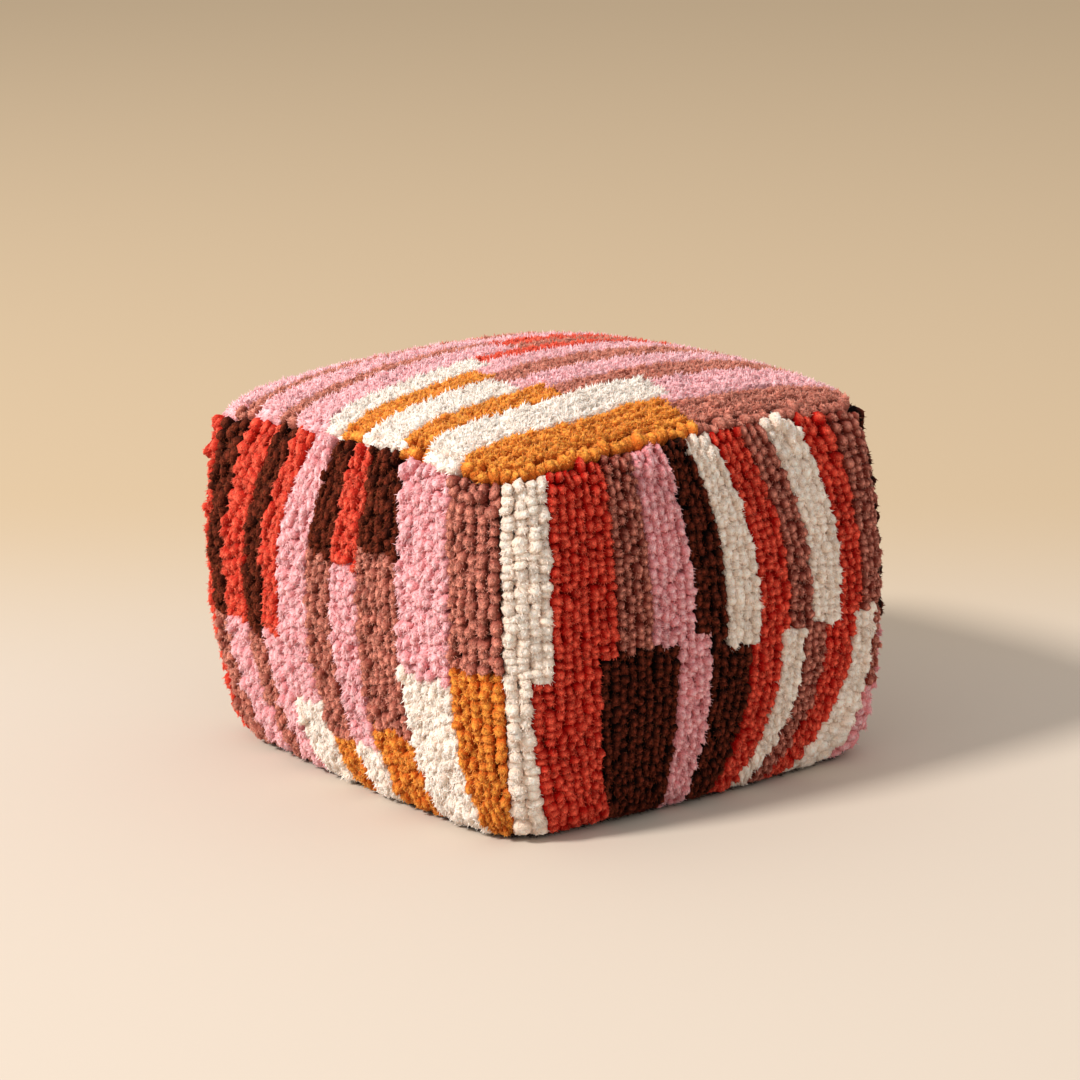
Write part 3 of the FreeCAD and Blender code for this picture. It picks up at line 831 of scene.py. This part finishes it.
# %% From arrays to a piece
def mesh_from(name, points, groups, values, places=None):
    """A mesh from arrays: points, groups of faces, and values for each point.

    A group is (faces, smooth), with as many corners in each face. Places are where the corners
    lie on the map for the bake."""
    mesh = bpy.data.meshes.new(name)
    corners = np.concatenate([faces.ravel() for faces, _ in groups])
    sizes = np.concatenate([np.full(len(faces), faces.shape[1]) for faces, _ in groups])
    smooth = np.concatenate([np.full(len(faces), soft) for faces, soft in groups])
    mesh.vertices.add(len(points))
    mesh.vertices.foreach_set("co", points.ravel().astype(np.float32))
    mesh.loops.add(len(corners))
    mesh.loops.foreach_set("vertex_index", corners.astype(np.int32))
    mesh.polygons.add(len(sizes))
    starts = np.concatenate([[0], np.cumsum(sizes)[:-1]])
    mesh.polygons.foreach_set("loop_start", starts.astype(np.int32))
    mesh.polygons.foreach_set("use_smooth", smooth)
    for key, value in values.items():
        layer = mesh.attributes.new(key, "FLOAT", "POINT")
        layer.data.foreach_set("value", value.astype(np.float32))
    if places is not None:
        flat_map = mesh.uv_layers.new(name="OFBake")
        flat_map.data.foreach_set("uv", places.ravel().astype(np.float32))
    mesh.update(calc_edges=True)
    mesh.validate()
    return mesh


def belongs(piece, node):
    """The piece moves with the pouf and is shown in place of a node."""
    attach(piece, "pouf")
    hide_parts(node)


def new_piece(mesh, finish, node):
    """An object of the mesh's own name, finished, in place of a node."""
    piece = add_object(mesh.name, mesh)
    dress(piece, finish)
    belongs(piece, node)
    return piece


def as_column(values):
    """One number for each row, ready to multiply rows of vectors."""
    return values[:, None]


# %% Copies of the knobs
LUMPS = 0.07
SWIVEL = 0.35
KNOB_BAND = (0.26, 0.98)
STRAND_BAND = (0.02, 0.22)
CELL_MARGIN = 0.03


def in_cells(places, cell, count, low, high):
    """Moves each copy's places into its own cell of a square grid, in a band of that cell."""
    side = math.ceil(math.sqrt(count))
    corner = np.stack([cell % side, cell // side], axis=-1)[:, None, None]
    inner = places * [1 - 2 * CELL_MARGIN, high - low] + [CELL_MARGIN, low]
    return ((corner + inner) / side).reshape(-1, 2)


def knob_copies(spot, chance):
    """Points, faces, depth, tone and map places of one copied knob for each knot."""
    parts = points, quads, threes, depths, tones, quad_places, three_places = [[] for _ in range(7)]
    total = 0
    kind = chance.integers(0, len(KNOBS), len(spot["place"]))
    flip = chance.choice([-1.0, 1.0], len(kind))
    for k, (shape, faces, depth, places) in enumerate(KNOBS):
        mine = np.flatnonzero(kind == k)
        own = {key: value[mine][:, None] for key, value in spot.items()}
        lumpy = shape[None] + chance.normal(0, LUMPS, (len(mine), *shape.shape))
        turn = chance.normal(0, SWIVEL, len(mine)) + math.pi * (flip[mine] < 0)
        spin, swing = np.cos(turn)[:, None], np.sin(turn)[:, None]
        aside = lumpy[:, :, 0] * spin - lumpy[:, :, 1] * swing
        ahead = lumpy[:, :, 0] * swing + lumpy[:, :, 1] * spin
        rise = (lumpy[:, :, 2:] + 1) / 2
        body = own["place"] + own["across"] * (aside * own["wide"])[..., None]
        body = body + own["down"] * (ahead * own["long"])[..., None]
        body = body + own["out"] * (rise * own["tall"][..., None] - ROOT_SINK)
        body = body + own["lean"] * rise**2
        points.append(body.reshape(-1, 3))
        base = total + np.arange(len(mine))[:, None, None] * len(shape)
        quads.append((np.array([f for f in faces if len(f) == 4])[None] + base).reshape(-1, 4))
        threes.append((np.array([f for f in faces if len(f) == 3])[None] + base).reshape(-1, 3))
        depths.append(np.tile(depth, len(mine)))
        tones.append(np.repeat(spot["tone"][mine], len(shape)))
        quad_places.append(in_cells(places[4][None], mine, len(kind), *KNOB_BAND))
        three_places.append(in_cells(places[3][None], mine, len(kind), *KNOB_BAND))
        total += len(mine) * len(shape)
    return [np.concatenate(part) for part in parts]


# %% Loose strands
FIBRE_LENGTH = (0.0024, 0.0044)
SPIKE_FACES = [(0, 1, 3), (1, 2, 3), (2, 0, 3), (2, 1, 0)]
SPIKE_TURNS = (0.0, 2.0944, 4.1888)
# Painted shade at the root of each strand, the tip colour at its point.
SPIKE_DEPTH = (0.3, 0.3, 0.3, 1.0)
SPIKE_PLACES = np.array([[(0, 0), (1, 0), (0.5, 1)]] * 3 + [[(0, 0), (1, 0), (0.5, 0.4)]])
SLOTS = 8
SLOT_FILL = 0.9
ODD_WAY = (0.31, 0.52, 0.79)
ROOT_LOW, ROOT_RISE = 0.62, 0.34
ROOT_OUT, ROOT_LEAN = 0.85, 0.75
ROOT_SPREAD = 0.95
LOOK_UP = 0.2
STRAY = 0.55
STRAND_TONE, STRAND_TONE_SPREAD = 0.3, 0.5
SEAM_SHORTER = 0.15


def spikes(root, way, length, width):
    """Closed three-sided spikes, four points and four faces each."""
    first = unit(np.cross(way, ODD_WAY))
    second = np.cross(way, first)
    ring = [root + width * (first * math.cos(a) + second * math.sin(a)) for a in SPIKE_TURNS]
    points = np.stack([*ring, root + way * as_column(length)], axis=1).reshape(-1, 3)
    faces = np.array(SPIKE_FACES)[None] + np.arange(len(root))[:, None, None] * 4
    return points, faces.reshape(-1, 3)


def strand_spikes(spot, habit, chance):
    """Strands of yarn that stand out of each knob: their roots are spread over its upper half."""
    own = {key: np.repeat(value, habit["strands"], axis=0) for key, value in spot.items()}
    count = len(own["place"])
    turn = as_column(chance.uniform(0, 2 * math.pi, count))
    rise = as_column(np.arcsin(chance.uniform(0.0, ROOT_SPREAD, count)))
    side = own["across"] * np.cos(turn) * as_column(own["wide"])
    side = side + own["down"] * np.sin(turn) * as_column(own["long"])
    tall = as_column(own["tall"])
    root = own["place"] + own["out"] * (tall * (ROOT_LOW + ROOT_RISE * np.sin(rise)) - ROOT_SINK)
    root = root + side * np.cos(rise) * ROOT_OUT + own["lean"] * ROOT_LEAN
    way = unit(side) * np.cos(rise) + own["out"] * (np.sin(rise) + LOOK_UP)
    way = unit(unit(way) + chance.normal(0, STRAY, (count, 3)) + own["down"] * habit["hang"])
    length = chance.uniform(*FIBRE_LENGTH, count) * habit["fluff"]
    length = length * (1 - SEAM_SHORTER * own["wild"])
    points, faces = spikes(root, way, length, habit["fibre"])
    tone = own["tone"] + chance.normal(STRAND_TONE, STRAND_TONE_SPREAD, count)
    slot = np.arange(count) % habit["strands"] % SLOTS
    places = SPIKE_PLACES[None] * [SLOT_FILL, 1.0] + as_column(slot)[..., None, None] * [1.0, 0.0]
    knot = np.arange(count) // habit["strands"]
    places = in_cells(places / [SLOTS, 1.0], knot, len(spot["place"]), *STRAND_BAND)
    return points, faces, np.tile(SPIKE_DEPTH, count), np.repeat(tone, 4), places


# %% [markdown]
# All the knots of one yarn on one panel make one piece, or two where there are
# too many for one. Pile that would go under the floor is pressed flat on it.

# %% Tie the pile
PRESSED_BELOW = 0.008
FLOOR_CLEAR = 0.0024
GIRTH_SPREAD, RUN_SPREAD = 0.10, 0.15
SEAM_NARROWER, SEAM_LOWER = 0.15, 0.08
SLIP_ACROSS, SLIP_DOWN = 0.0005, 0.0008
TONE_MEAN, TONE_SPREAD = 0.5, 0.25
MOST_KNOTS = 1300


def over_floor(points):
    """Points that would be under the floor, or close above it, are pressed together."""
    points = points.copy()
    low = points[:, 2] < PRESSED_BELOW
    points[low, 2] = PRESSED_BELOW * np.exp((points[low, 2] - PRESSED_BELOW) / PRESSED_BELOW)
    points[:, 2] = np.maximum(points[:, 2], FLOOR_CLEAR)
    return points


def tie_pile(name, panel, yarn, chosen, chance):
    """The mesh of the chosen knots of a panel, all of one yarn."""
    knots = KNOTS[panel]
    spot = {key: knots[key][chosen] for key in ("place", "out", "across", "down")}
    count = len(chosen)
    habit = dict(HABITS[panel])
    habit["fluff"] *= LOOSENESS[yarn]
    habit["fibre"] *= LOOSENESS[yarn]
    wild = knots["wild"][chosen]
    spot["wild"] = wild
    loose = 1.0 + wild
    full = 0.5 * FULLNESS[yarn]
    wide = knots["wide"][chosen] * full * chance.normal(habit["girth"], GIRTH_SPREAD, count)
    spot["wide"] = wide * (1 - SEAM_NARROWER * wild)
    spot["long"] = knots["long"][chosen] * full * chance.normal(habit["run"], RUN_SPREAD, count)
    tall = (PILE_HEIGHT + ROOT_SINK) * (1.0 - SEAM_LOWER * wild)
    spot["tall"] = tall * (1.0 + habit["uneven"] * loose * chance.normal(0, 1, count))
    across, down = spot["across"], spot["down"]
    slipped = spot["place"] + across * chance.normal(0, SLIP_ACROSS, (count, 1))
    spot["place"] = slipped + down * chance.normal(0, SLIP_DOWN, (count, 1))
    sway = as_column(habit["lean"] * loose)
    lean = across * sway * chance.normal(0, 1, (count, 1))
    lean = lean + down * sway * chance.normal(0, 1, (count, 1))
    spot["lean"] = lean + down * as_column(habit["nap"] * (1.0 - wild))
    spot["tone"] = np.clip(chance.normal(TONE_MEAN, TONE_SPREAD, count), 0, 1)
    points, quads, threes, depth, tone, *places = knob_copies(spot, chance)
    strands, spike_faces, spike_depth, spike_tone, spike_places = strand_spikes(spot, habit, chance)
    solid = over_floor(slump(np.concatenate([points, strands])))
    groups = [(quads, True), (threes, True), (spike_faces + len(points), False)]
    # Painted shade in the roots and gaps, set by the panel: most on the front, away from the lamp.
    values = {
        "depth": 1.0 - habit["shade"] * (1.0 - np.concatenate([depth, spike_depth])),
        "tone": np.concatenate([tone, spike_tone]),
    }
    return mesh_from(name, solid, groups, values, np.concatenate([*places, spike_places]))


sets = []
for panel, spot in KNOTS.items():
    for yarn in sorted(set(spot["yarn"])):
        every = np.flatnonzero(spot["yarn"] == yarn)
        shares = np.array_split(every, math.ceil(len(every) / MOST_KNOTS))
        for number, chosen in enumerate(shares):
            ending = "_" + str(number + 1) if len(shares) > 1 else ""
            sets.append((panel, yarn, ending, chosen))

triangles = []
for seed, (panel, yarn, ending, chosen) in enumerate(sets, 8):
    name = panel + "_pile_" + yarn + ending
    mesh = tie_pile(name, panel, yarn, chosen, np.random.default_rng(seed))
    new_piece(mesh, YARNS[yarn], panel + "_panel")
    triangles.append(len(mesh.loops) - 2 * len(mesh.polygons))
print("pile triangles:", sum(triangles), "and most in one piece:", max(triangles))

# %% [markdown]
# The backing cloth shows only as the dark floor of the gaps between knobs.
# The swollen skin is cut along its seams into one cloth for each panel, and
# each cloth gets its real thickness inwards. All the plain cloths of the pouf
# share one recipe for their finish.

# %% Finish for woven cloth
DUST_SCALE, DUST_SHARE = 40.0, 0.55


def cloth_finish(name, colour, shade, threads, roughness=0.9):
    """A plain weave: crossed waves of thread in colour and relief, with uneven dye."""
    made, place, shader = new_finish(name, {
        "Roughness": roughness, "Sheen Weight": 0.1, "Sheen Roughness": SHEEN_SPREAD,
    })
    wave = {"Vector": place, "Scale": threads}
    warp, weft = [
        place.node("ShaderNodeTexWave", {"bands_direction": way}, wave) for way in ("X", "Y")
    ]
    weave = warp * weft
    mask = DUST_SHARE * noise(place, DUST_SCALE, 4.0) + (1 - DUST_SHARE) * weave
    mask.blend(dye(*shade), dye(*colour)).into(shader, "Base Color")
    raise_relief(shader, weave, strength=0.5, distance=0.0006)
    return made


BACKING_CLOTH = cloth_finish("backing_cloth", (132, 92, 74), (88, 56, 44), 300.0)
print("finish for the backing:", BACKING_CLOTH.name)

# %% Cut the skin into panels
BACKING_THICKNESS = 0.002
FLAT_RISE = 0.5
TOP_FROM = 0.28
cut = points_of(bag.data)
face_points = [list(face.vertices) for face in bag.data.polygons]
face_middle = np.array([cut[corners].mean(axis=0) for corners in face_points])
face_rise = np.array([face.normal.z for face in bag.data.polygons])
angle = np.degrees(np.arctan2(face_middle[:, 1], face_middle[:, 0]))
is_top = (face_rise > FLAT_RISE) & (face_middle[:, 2] > TOP_FROM)
is_base = (face_rise < -FLAT_RISE) & (face_middle[:, 2] < BASE_TO)
for panel in ("top",) + SIDES:
    if panel == "top":
        mine = is_top
    else:
        turned = np.abs((angle - FACING[panel] + 180.0) % 360.0 - 180.0)
        mine = (turned <= 45.0) & ~is_top & ~is_base
    used = np.unique(np.concatenate([face_points[i] for i in np.flatnonzero(mine)]))
    index = {int(old): new for new, old in enumerate(used)}
    mesh = bpy.data.meshes.new(panel + "_backing_cloth")
    faces = [[index[v] for v in face_points[i]] for i in np.flatnonzero(mine)]
    mesh.from_pydata(slump(cut[used]).tolist(), [], faces)
    backing = add_object(mesh.name, mesh)
    thick = backing.modifiers.new("thickness", "SOLIDIFY")
    thick.thickness = BACKING_THICKNESS
    thick.offset = -1.0
    settle(backing, thick)
    bpy.ops.object.shade_smooth()
    dress(backing, BACKING_CLOTH)
    belongs(backing, panel + "_backing")
    print(backing.name, "faces:", len(mesh.polygons))
bpy.data.objects.remove(bag)

# %% [markdown]
# Inside are the liner bag, the wadding and the foam, and tapes over the seams.
# They keep the shapes they have in the frame, but lean with the cover, and
# whatever would touch the cover from inside is tucked under it.


# %% Lean the inside with the cover
TUCK = 0.0035


def tucked(points):
    """The same points, those near the skin or past it moved to a little way inside it."""
    moved = points.copy()
    for i, point in enumerate(points):
        nearest, normal, *_ = skin.find_nearest(point)
        depth = float(np.dot(point - np.array(nearest), normal))
        if depth > -TUCK and normal.z > -FLAT_RISE:
            moved[i] = point - (depth + TUCK) * np.array(normal)
    return moved


TAPES = ["top_seam_tape", "base_seam_tape", "corner_seam_tapes"]
INSIDE = {
    "liner_cotton": (LINERS, (232, 226, 212), (206, 198, 182), 420.0),
    "seam_tape": (TAPES, (188, 176, 152), (150, 138, 116), 500.0),
    "wadding": (WADDINGS, (240, 240, 238), (220, 220, 218), 60.0, 1.0),
    "foam": (["foam_core"], (232, 214, 160), (212, 190, 130), 90.0, 0.95),
}
for slot_name, (sources, *recipe) in INSIDE.items():
    finish = cloth_finish(slot_name, *recipe)
    for source in sources:
        piece = copy_of(source + "_soft", source)
        piece.data.vertices.foreach_set("co", slump(tucked(points_of(piece.data))).ravel())
        piece.data.update()
        dress(piece, finish)
        belongs(piece, source)
        slot_name in ("wadding", "foam")
        print(piece.name, "points:", len(piece.data.vertices))

# %% [markdown]
# The base is dark brown canvas in two halves, hemmed beside the zip. Cloth has
# no sharp edges, so each half and each zip tape is copied and its edges are
# rounded with Bevel. Two rows of stitches hold each hem: one stitch is modelled
# from a small ball and copied. The canvas sits higher by half a stitch.

# %% Sew the base
CANVAS = cloth_finish("base_canvas", (74, 46, 38), (50, 30, 25), 240.0)
ZIP_TAPE = cloth_finish("zip_tape", (60, 40, 34), (42, 28, 24), 600.0)
THREAD = cloth_finish("base_thread", (112, 76, 60), (80, 52, 42), 900.0)
STITCH_HALF = (0.0018, 0.0005, 0.0005)
CANVAS_ROLL, TAPE_ROLL = 0.0010, 0.0002
ON_FLOOR = 0.0001
FLAT_ANGLE = math.radians(1.0)
FOLD_ANGLE = math.radians(40.0)
SEWN = [
    ("base_front_half", CANVAS, "base_canvas", CANVAS_ROLL, STITCH_HALF[2]),
    ("base_rear_half", CANVAS, "base_canvas", CANVAS_ROLL, STITCH_HALF[2]),
    ("zip_tape_front", ZIP_TAPE, "zip_tape", TAPE_ROLL, 0.0),
    ("zip_tape_rear", ZIP_TAPE, "zip_tape", TAPE_ROLL, 0.0),
]
for source, finish, slot_name, roll, lift in SEWN:
    piece = copy_of(source + "_cloth", source)
    mode("EDIT")
    bpy.ops.mesh.dissolve_limited(angle_limit=FLAT_ANGLE)
    pick(piece, lambda point: point.z < ON_FLOOR)
    bpy.ops.transform.translate(value=(0, 0, lift))
    mode("OBJECT")
    bevel = piece.modifiers.new("roll", "BEVEL")
    bevel.width = roll
    bevel.segments = 2
    bevel.limit_method = "ANGLE"
    bevel.angle_limit = FOLD_ANGLE
    settle(piece, bevel)
    bpy.ops.object.shade_smooth_by_angle(angle=FOLD_ANGLE)
    dress(piece, finish)
    belongs(piece, source)
    print(piece.name, "faces:", len(piece.data.polygons))

# %% Stitch the hems
STITCH_STEP = 0.0048
HEM_REACH = 0.176
HEM_ROWS = (0.0112, 0.0160)
bpy.ops.object.select_all(action="DESELECT")
bpy.ops.mesh.primitive_uv_sphere_add(segments=6, ring_count=4, radius=1.0)
stitch = bpy.context.object
mode("EDIT")
bpy.ops.transform.resize(value=STITCH_HALF, center_override=(0, 0, 0))
bpy.ops.mesh.quads_convert_to_tris()
mode("OBJECT")
stitch_points = points_of(stitch.data)
stitch_faces = np.array([list(face.vertices) for face in stitch.data.polygons])
bpy.data.objects.remove(stitch)
for half, sign in (("front", -1.0), ("rear", 1.0)):
    at_x = np.arange(-HEM_REACH, HEM_REACH, STITCH_STEP)
    middle = np.array([(x, sign * y, STITCH_HALF[2]) for y in HEM_ROWS for x in at_x])
    points = (stitch_points[None] + middle[:, None]).reshape(-1, 3)
    faces = stitch_faces[None] + np.arange(len(middle))[:, None, None] * len(stitch_points)
    mesh = mesh_from("base_" + half + "_stitches", points, [(faces.reshape(-1, 3), True)], {})
    seam = new_piece(mesh, THREAD, "base_" + half + "_half")
    print(seam.name, "stitches:", len(middle))

# %% [markdown]
# Where the canvas is sewn to the sides a border of it goes on under the lowest
# pile. Its cut edge frays, and a dark fuzzy line of it shows along the floor.
# The border is one flat ring, and the loose threads lie along its edge and
# point outwards.

# %% The border of the base
EDGE_HEIGHT = 0.012
BORDER_LAP = 0.95
BORDER_LEVELS = (0.0009, 0.0022)
FLATTEN = np.array([1.0, 1.0, 0.0])
around = np.arange(-180.0, 180.0, 2.0)
inner = ring_at(WALL_LOW, around) * BORDER_LAP * FLATTEN
outer = ring_at(EDGE_HEIGHT, around) * FLATTEN
low, high = [np.array([0.0, 0.0, level]) for level in BORDER_LEVELS]
points = np.concatenate([inner + low, outer + low, outer + high, inner + high])
here = np.arange(len(around))
ahead = np.roll(here, -1)
turns = [np.array([k, k, k + 1, k + 1]) % 4 * len(around) for k in range(4)]
faces = np.concatenate([np.stack([here, ahead, ahead, here], axis=1) + turn for turn in turns])
mesh = mesh_from("base_border", points, [(faces, False)], {})
new_piece(mesh, CANVAS, "base_front_half")
print("border faces:", len(mesh.polygons))

# %% Fray the edge of the base
FRAY_COUNT = 3600
FRAY_LEVEL = 0.0016
FRAY_SPREAD = 0.004
FRAY_LENGTH = (0.003, 0.009)
FRAY_WIDTH = 0.0005
FRAY_STRAY = 0.45
FRAY_LEAST = 0.0004
LEVEL_STRAY = [1.0, 1.0, 0.35]
chance = np.random.default_rng(3)
edge = ring_at(EDGE_HEIGHT, chance.uniform(-180.0, 180.0, FRAY_COUNT)) * FLATTEN
away = unit(edge)
root = edge + [0.0, 0.0, FRAY_LEVEL]
root = root + away * as_column(chance.uniform(-FRAY_SPREAD, FRAY_SPREAD, FRAY_COUNT))
way = unit(away + chance.normal(0, FRAY_STRAY, (FRAY_COUNT, 3)) * LEVEL_STRAY)
points, faces = spikes(root, way, chance.uniform(*FRAY_LENGTH, FRAY_COUNT), FRAY_WIDTH)
points[:, 2] = np.clip(points[:, 2], FRAY_LEAST, None)
mesh = mesh_from("base_frayed_edge", points, [(faces, False)], {})
new_piece(mesh, CANVAS, "base_front_half")
print("loose threads:", FRAY_COUNT)

# %% [markdown]
# The zip is brass. Its teeth, stops, slider and pull tab have their true shape
# already, so they only get their finish: metal that is duller where it is worn.


# %% Finish the zip
WEAR_SCALE = 400.0
SHINE, WORN_ROUGHER = 0.28, 0.25


def brass():
    """Polished metal, darker and rougher in patches."""
    made, place, shader = new_finish("zip_metal", {"Metallic": 1.0})
    wear = noise(place, WEAR_SCALE, 4.0)
    wear.blend(dye(150, 112, 62), dye(214, 178, 110)).into(shader, "Base Color")
    (SHINE + WORN_ROUGHER * wear).into(shader, "Roughness")
    return made


BRASS = brass()
ZIP_METAL = [
    "zip_teeth_front", "zip_teeth_rear", "zip_top_stops", "zip_bottom_stop",
    "zip_slider", "zip_pull_tab",
]
for name in ZIP_METAL:
    dress(nodes[name], BRASS)
print("frame nodes finished:", len(ZIP_METAL))

# %% [markdown]
# The picture is taken from a little above, towards the near corner, with a
# long lens. A wide soft lamp on the left lights one side and grazes the top,
# and pale light all round fills the front. The floor is pale near the pouf and
# grows darker far behind: partly the colour of the studio wall there, partly
# painted shade, as if the light on the floor ended.

# %% The floor
FLOOR_PALE = dye(205, 192, 178)
FLOOR_FAR_WALL_AND_SHADE = dye(198, 176, 147)
FLOOR_SIZE = 60.0
FLOOR_GAP = 0.0004
FAR_WAY = (0.627, 0.779, 0.0)
FAR_FROM, FAR_TO = 0.05, 1.1
bpy.ops.object.select_all(action="DESELECT")
bpy.ops.mesh.primitive_plane_add(size=FLOOR_SIZE, location=(0, 0, -FLOOR_GAP))
floor = bpy.context.object
floor.name = "studio_floor"
bpy.ops.object.transform_apply(location=True)
floor_values = {"Roughness": 1.0, "Specular IOR Level": 0.0}
floor_finish, place, shader = new_finish("studio_floor", floor_values)
behind = place.node(
    "ShaderNodeVectorMath", {"operation": "DOT_PRODUCT"}, {0: place, 1: FAR_WAY}, out=1
)
far = place.node(
    "ShaderNodeMapRange", {"interpolation_type": "SMOOTHSTEP"},
    {0: behind, 1: FAR_FROM, 2: FAR_TO, 3: 0.0, 4: 1.0},
)
# Pale near the pouf, darker far behind: partly the wall's colour, partly painted shade.
far.blend(FLOOR_PALE, FLOOR_FAR_WALL_AND_SHADE).into(shader, "Base Color")
dress(floor, floor_finish)
print("floor:", FLOOR_SIZE, "m square")

# %% The light
KEY_PLACE = (-7.8, 1.1, 6.8)
KEY_SIZE = 1.8
KEY_WATTS = 1160.0
KEY_COLOUR = (1.0, 0.96, 0.91)
SKY_COLOUR = (1.0, 0.98, 0.95, 1.0)
SKY_STRENGTH = 0.74
MIDDLE = (0, 0, 0.18)
world = bpy.data.worlds.new("studio")
bpy.context.scene.world = world
world.use_nodes = True
sky = world.node_tree.nodes["Background"]
sky.inputs["Color"].default_value = SKY_COLOUR
sky.inputs["Strength"].default_value = SKY_STRENGTH


def aim(obj, eye, target):
    """Puts a lamp or camera at the eye and turns it to the target."""
    way = np.array(target, dtype=float) - np.array(eye, dtype=float)
    level = math.hypot(way[0], way[1])
    obj.location = eye
    obj.rotation_euler = (math.atan2(level, -way[2]), 0.0, math.atan2(-way[0], way[1]))


lamp = bpy.data.lights.new("key_lamp", "AREA")
lamp.shape = "DISK"
lamp.size = KEY_SIZE
lamp.energy = KEY_WATTS
lamp.color = KEY_COLOUR
aim(add_object("key_lamp", lamp), KEY_PLACE, MIDDLE)
print("lamp of", KEY_WATTS, "W at", KEY_PLACE)

# %% The camera
AZIMUTH = math.radians(-38.7)
ELEVATION = math.radians(13.9)
DISTANCE = 2.9191
LOOK_AT = np.array([-0.0063, 0.00345, 0.2017])
LOOK_ASIDE = -0.002
back = np.array([
    math.sin(AZIMUTH) * math.cos(ELEVATION),
    -math.cos(AZIMUTH) * math.cos(ELEVATION),
    math.sin(ELEVATION),
])
right = np.array([math.cos(AZIMUTH), math.sin(AZIMUTH), 0.0])
centre = right * LOOK_ASIDE + LOOK_AT
lens = bpy.data.cameras.new("studio_camera")
lens.lens = 101.85
lens.sensor_width = 36.0
lens.clip_end = 200.0
camera = add_object("studio_camera", lens)
aim(camera, (centre + back * DISTANCE).tolist(), centre.tolist())
bpy.context.scene.camera = camera
bpy.context.scene.view_settings.view_transform = "Standard"
print("camera at", np.round(camera.location, 3).tolist())

# %% [markdown]
# Cloth may stand a little proud of the frame.
# Last, the view layer is brought up to date.

# %% Bring the view layer up to date
bpy.context.view_layer.update()
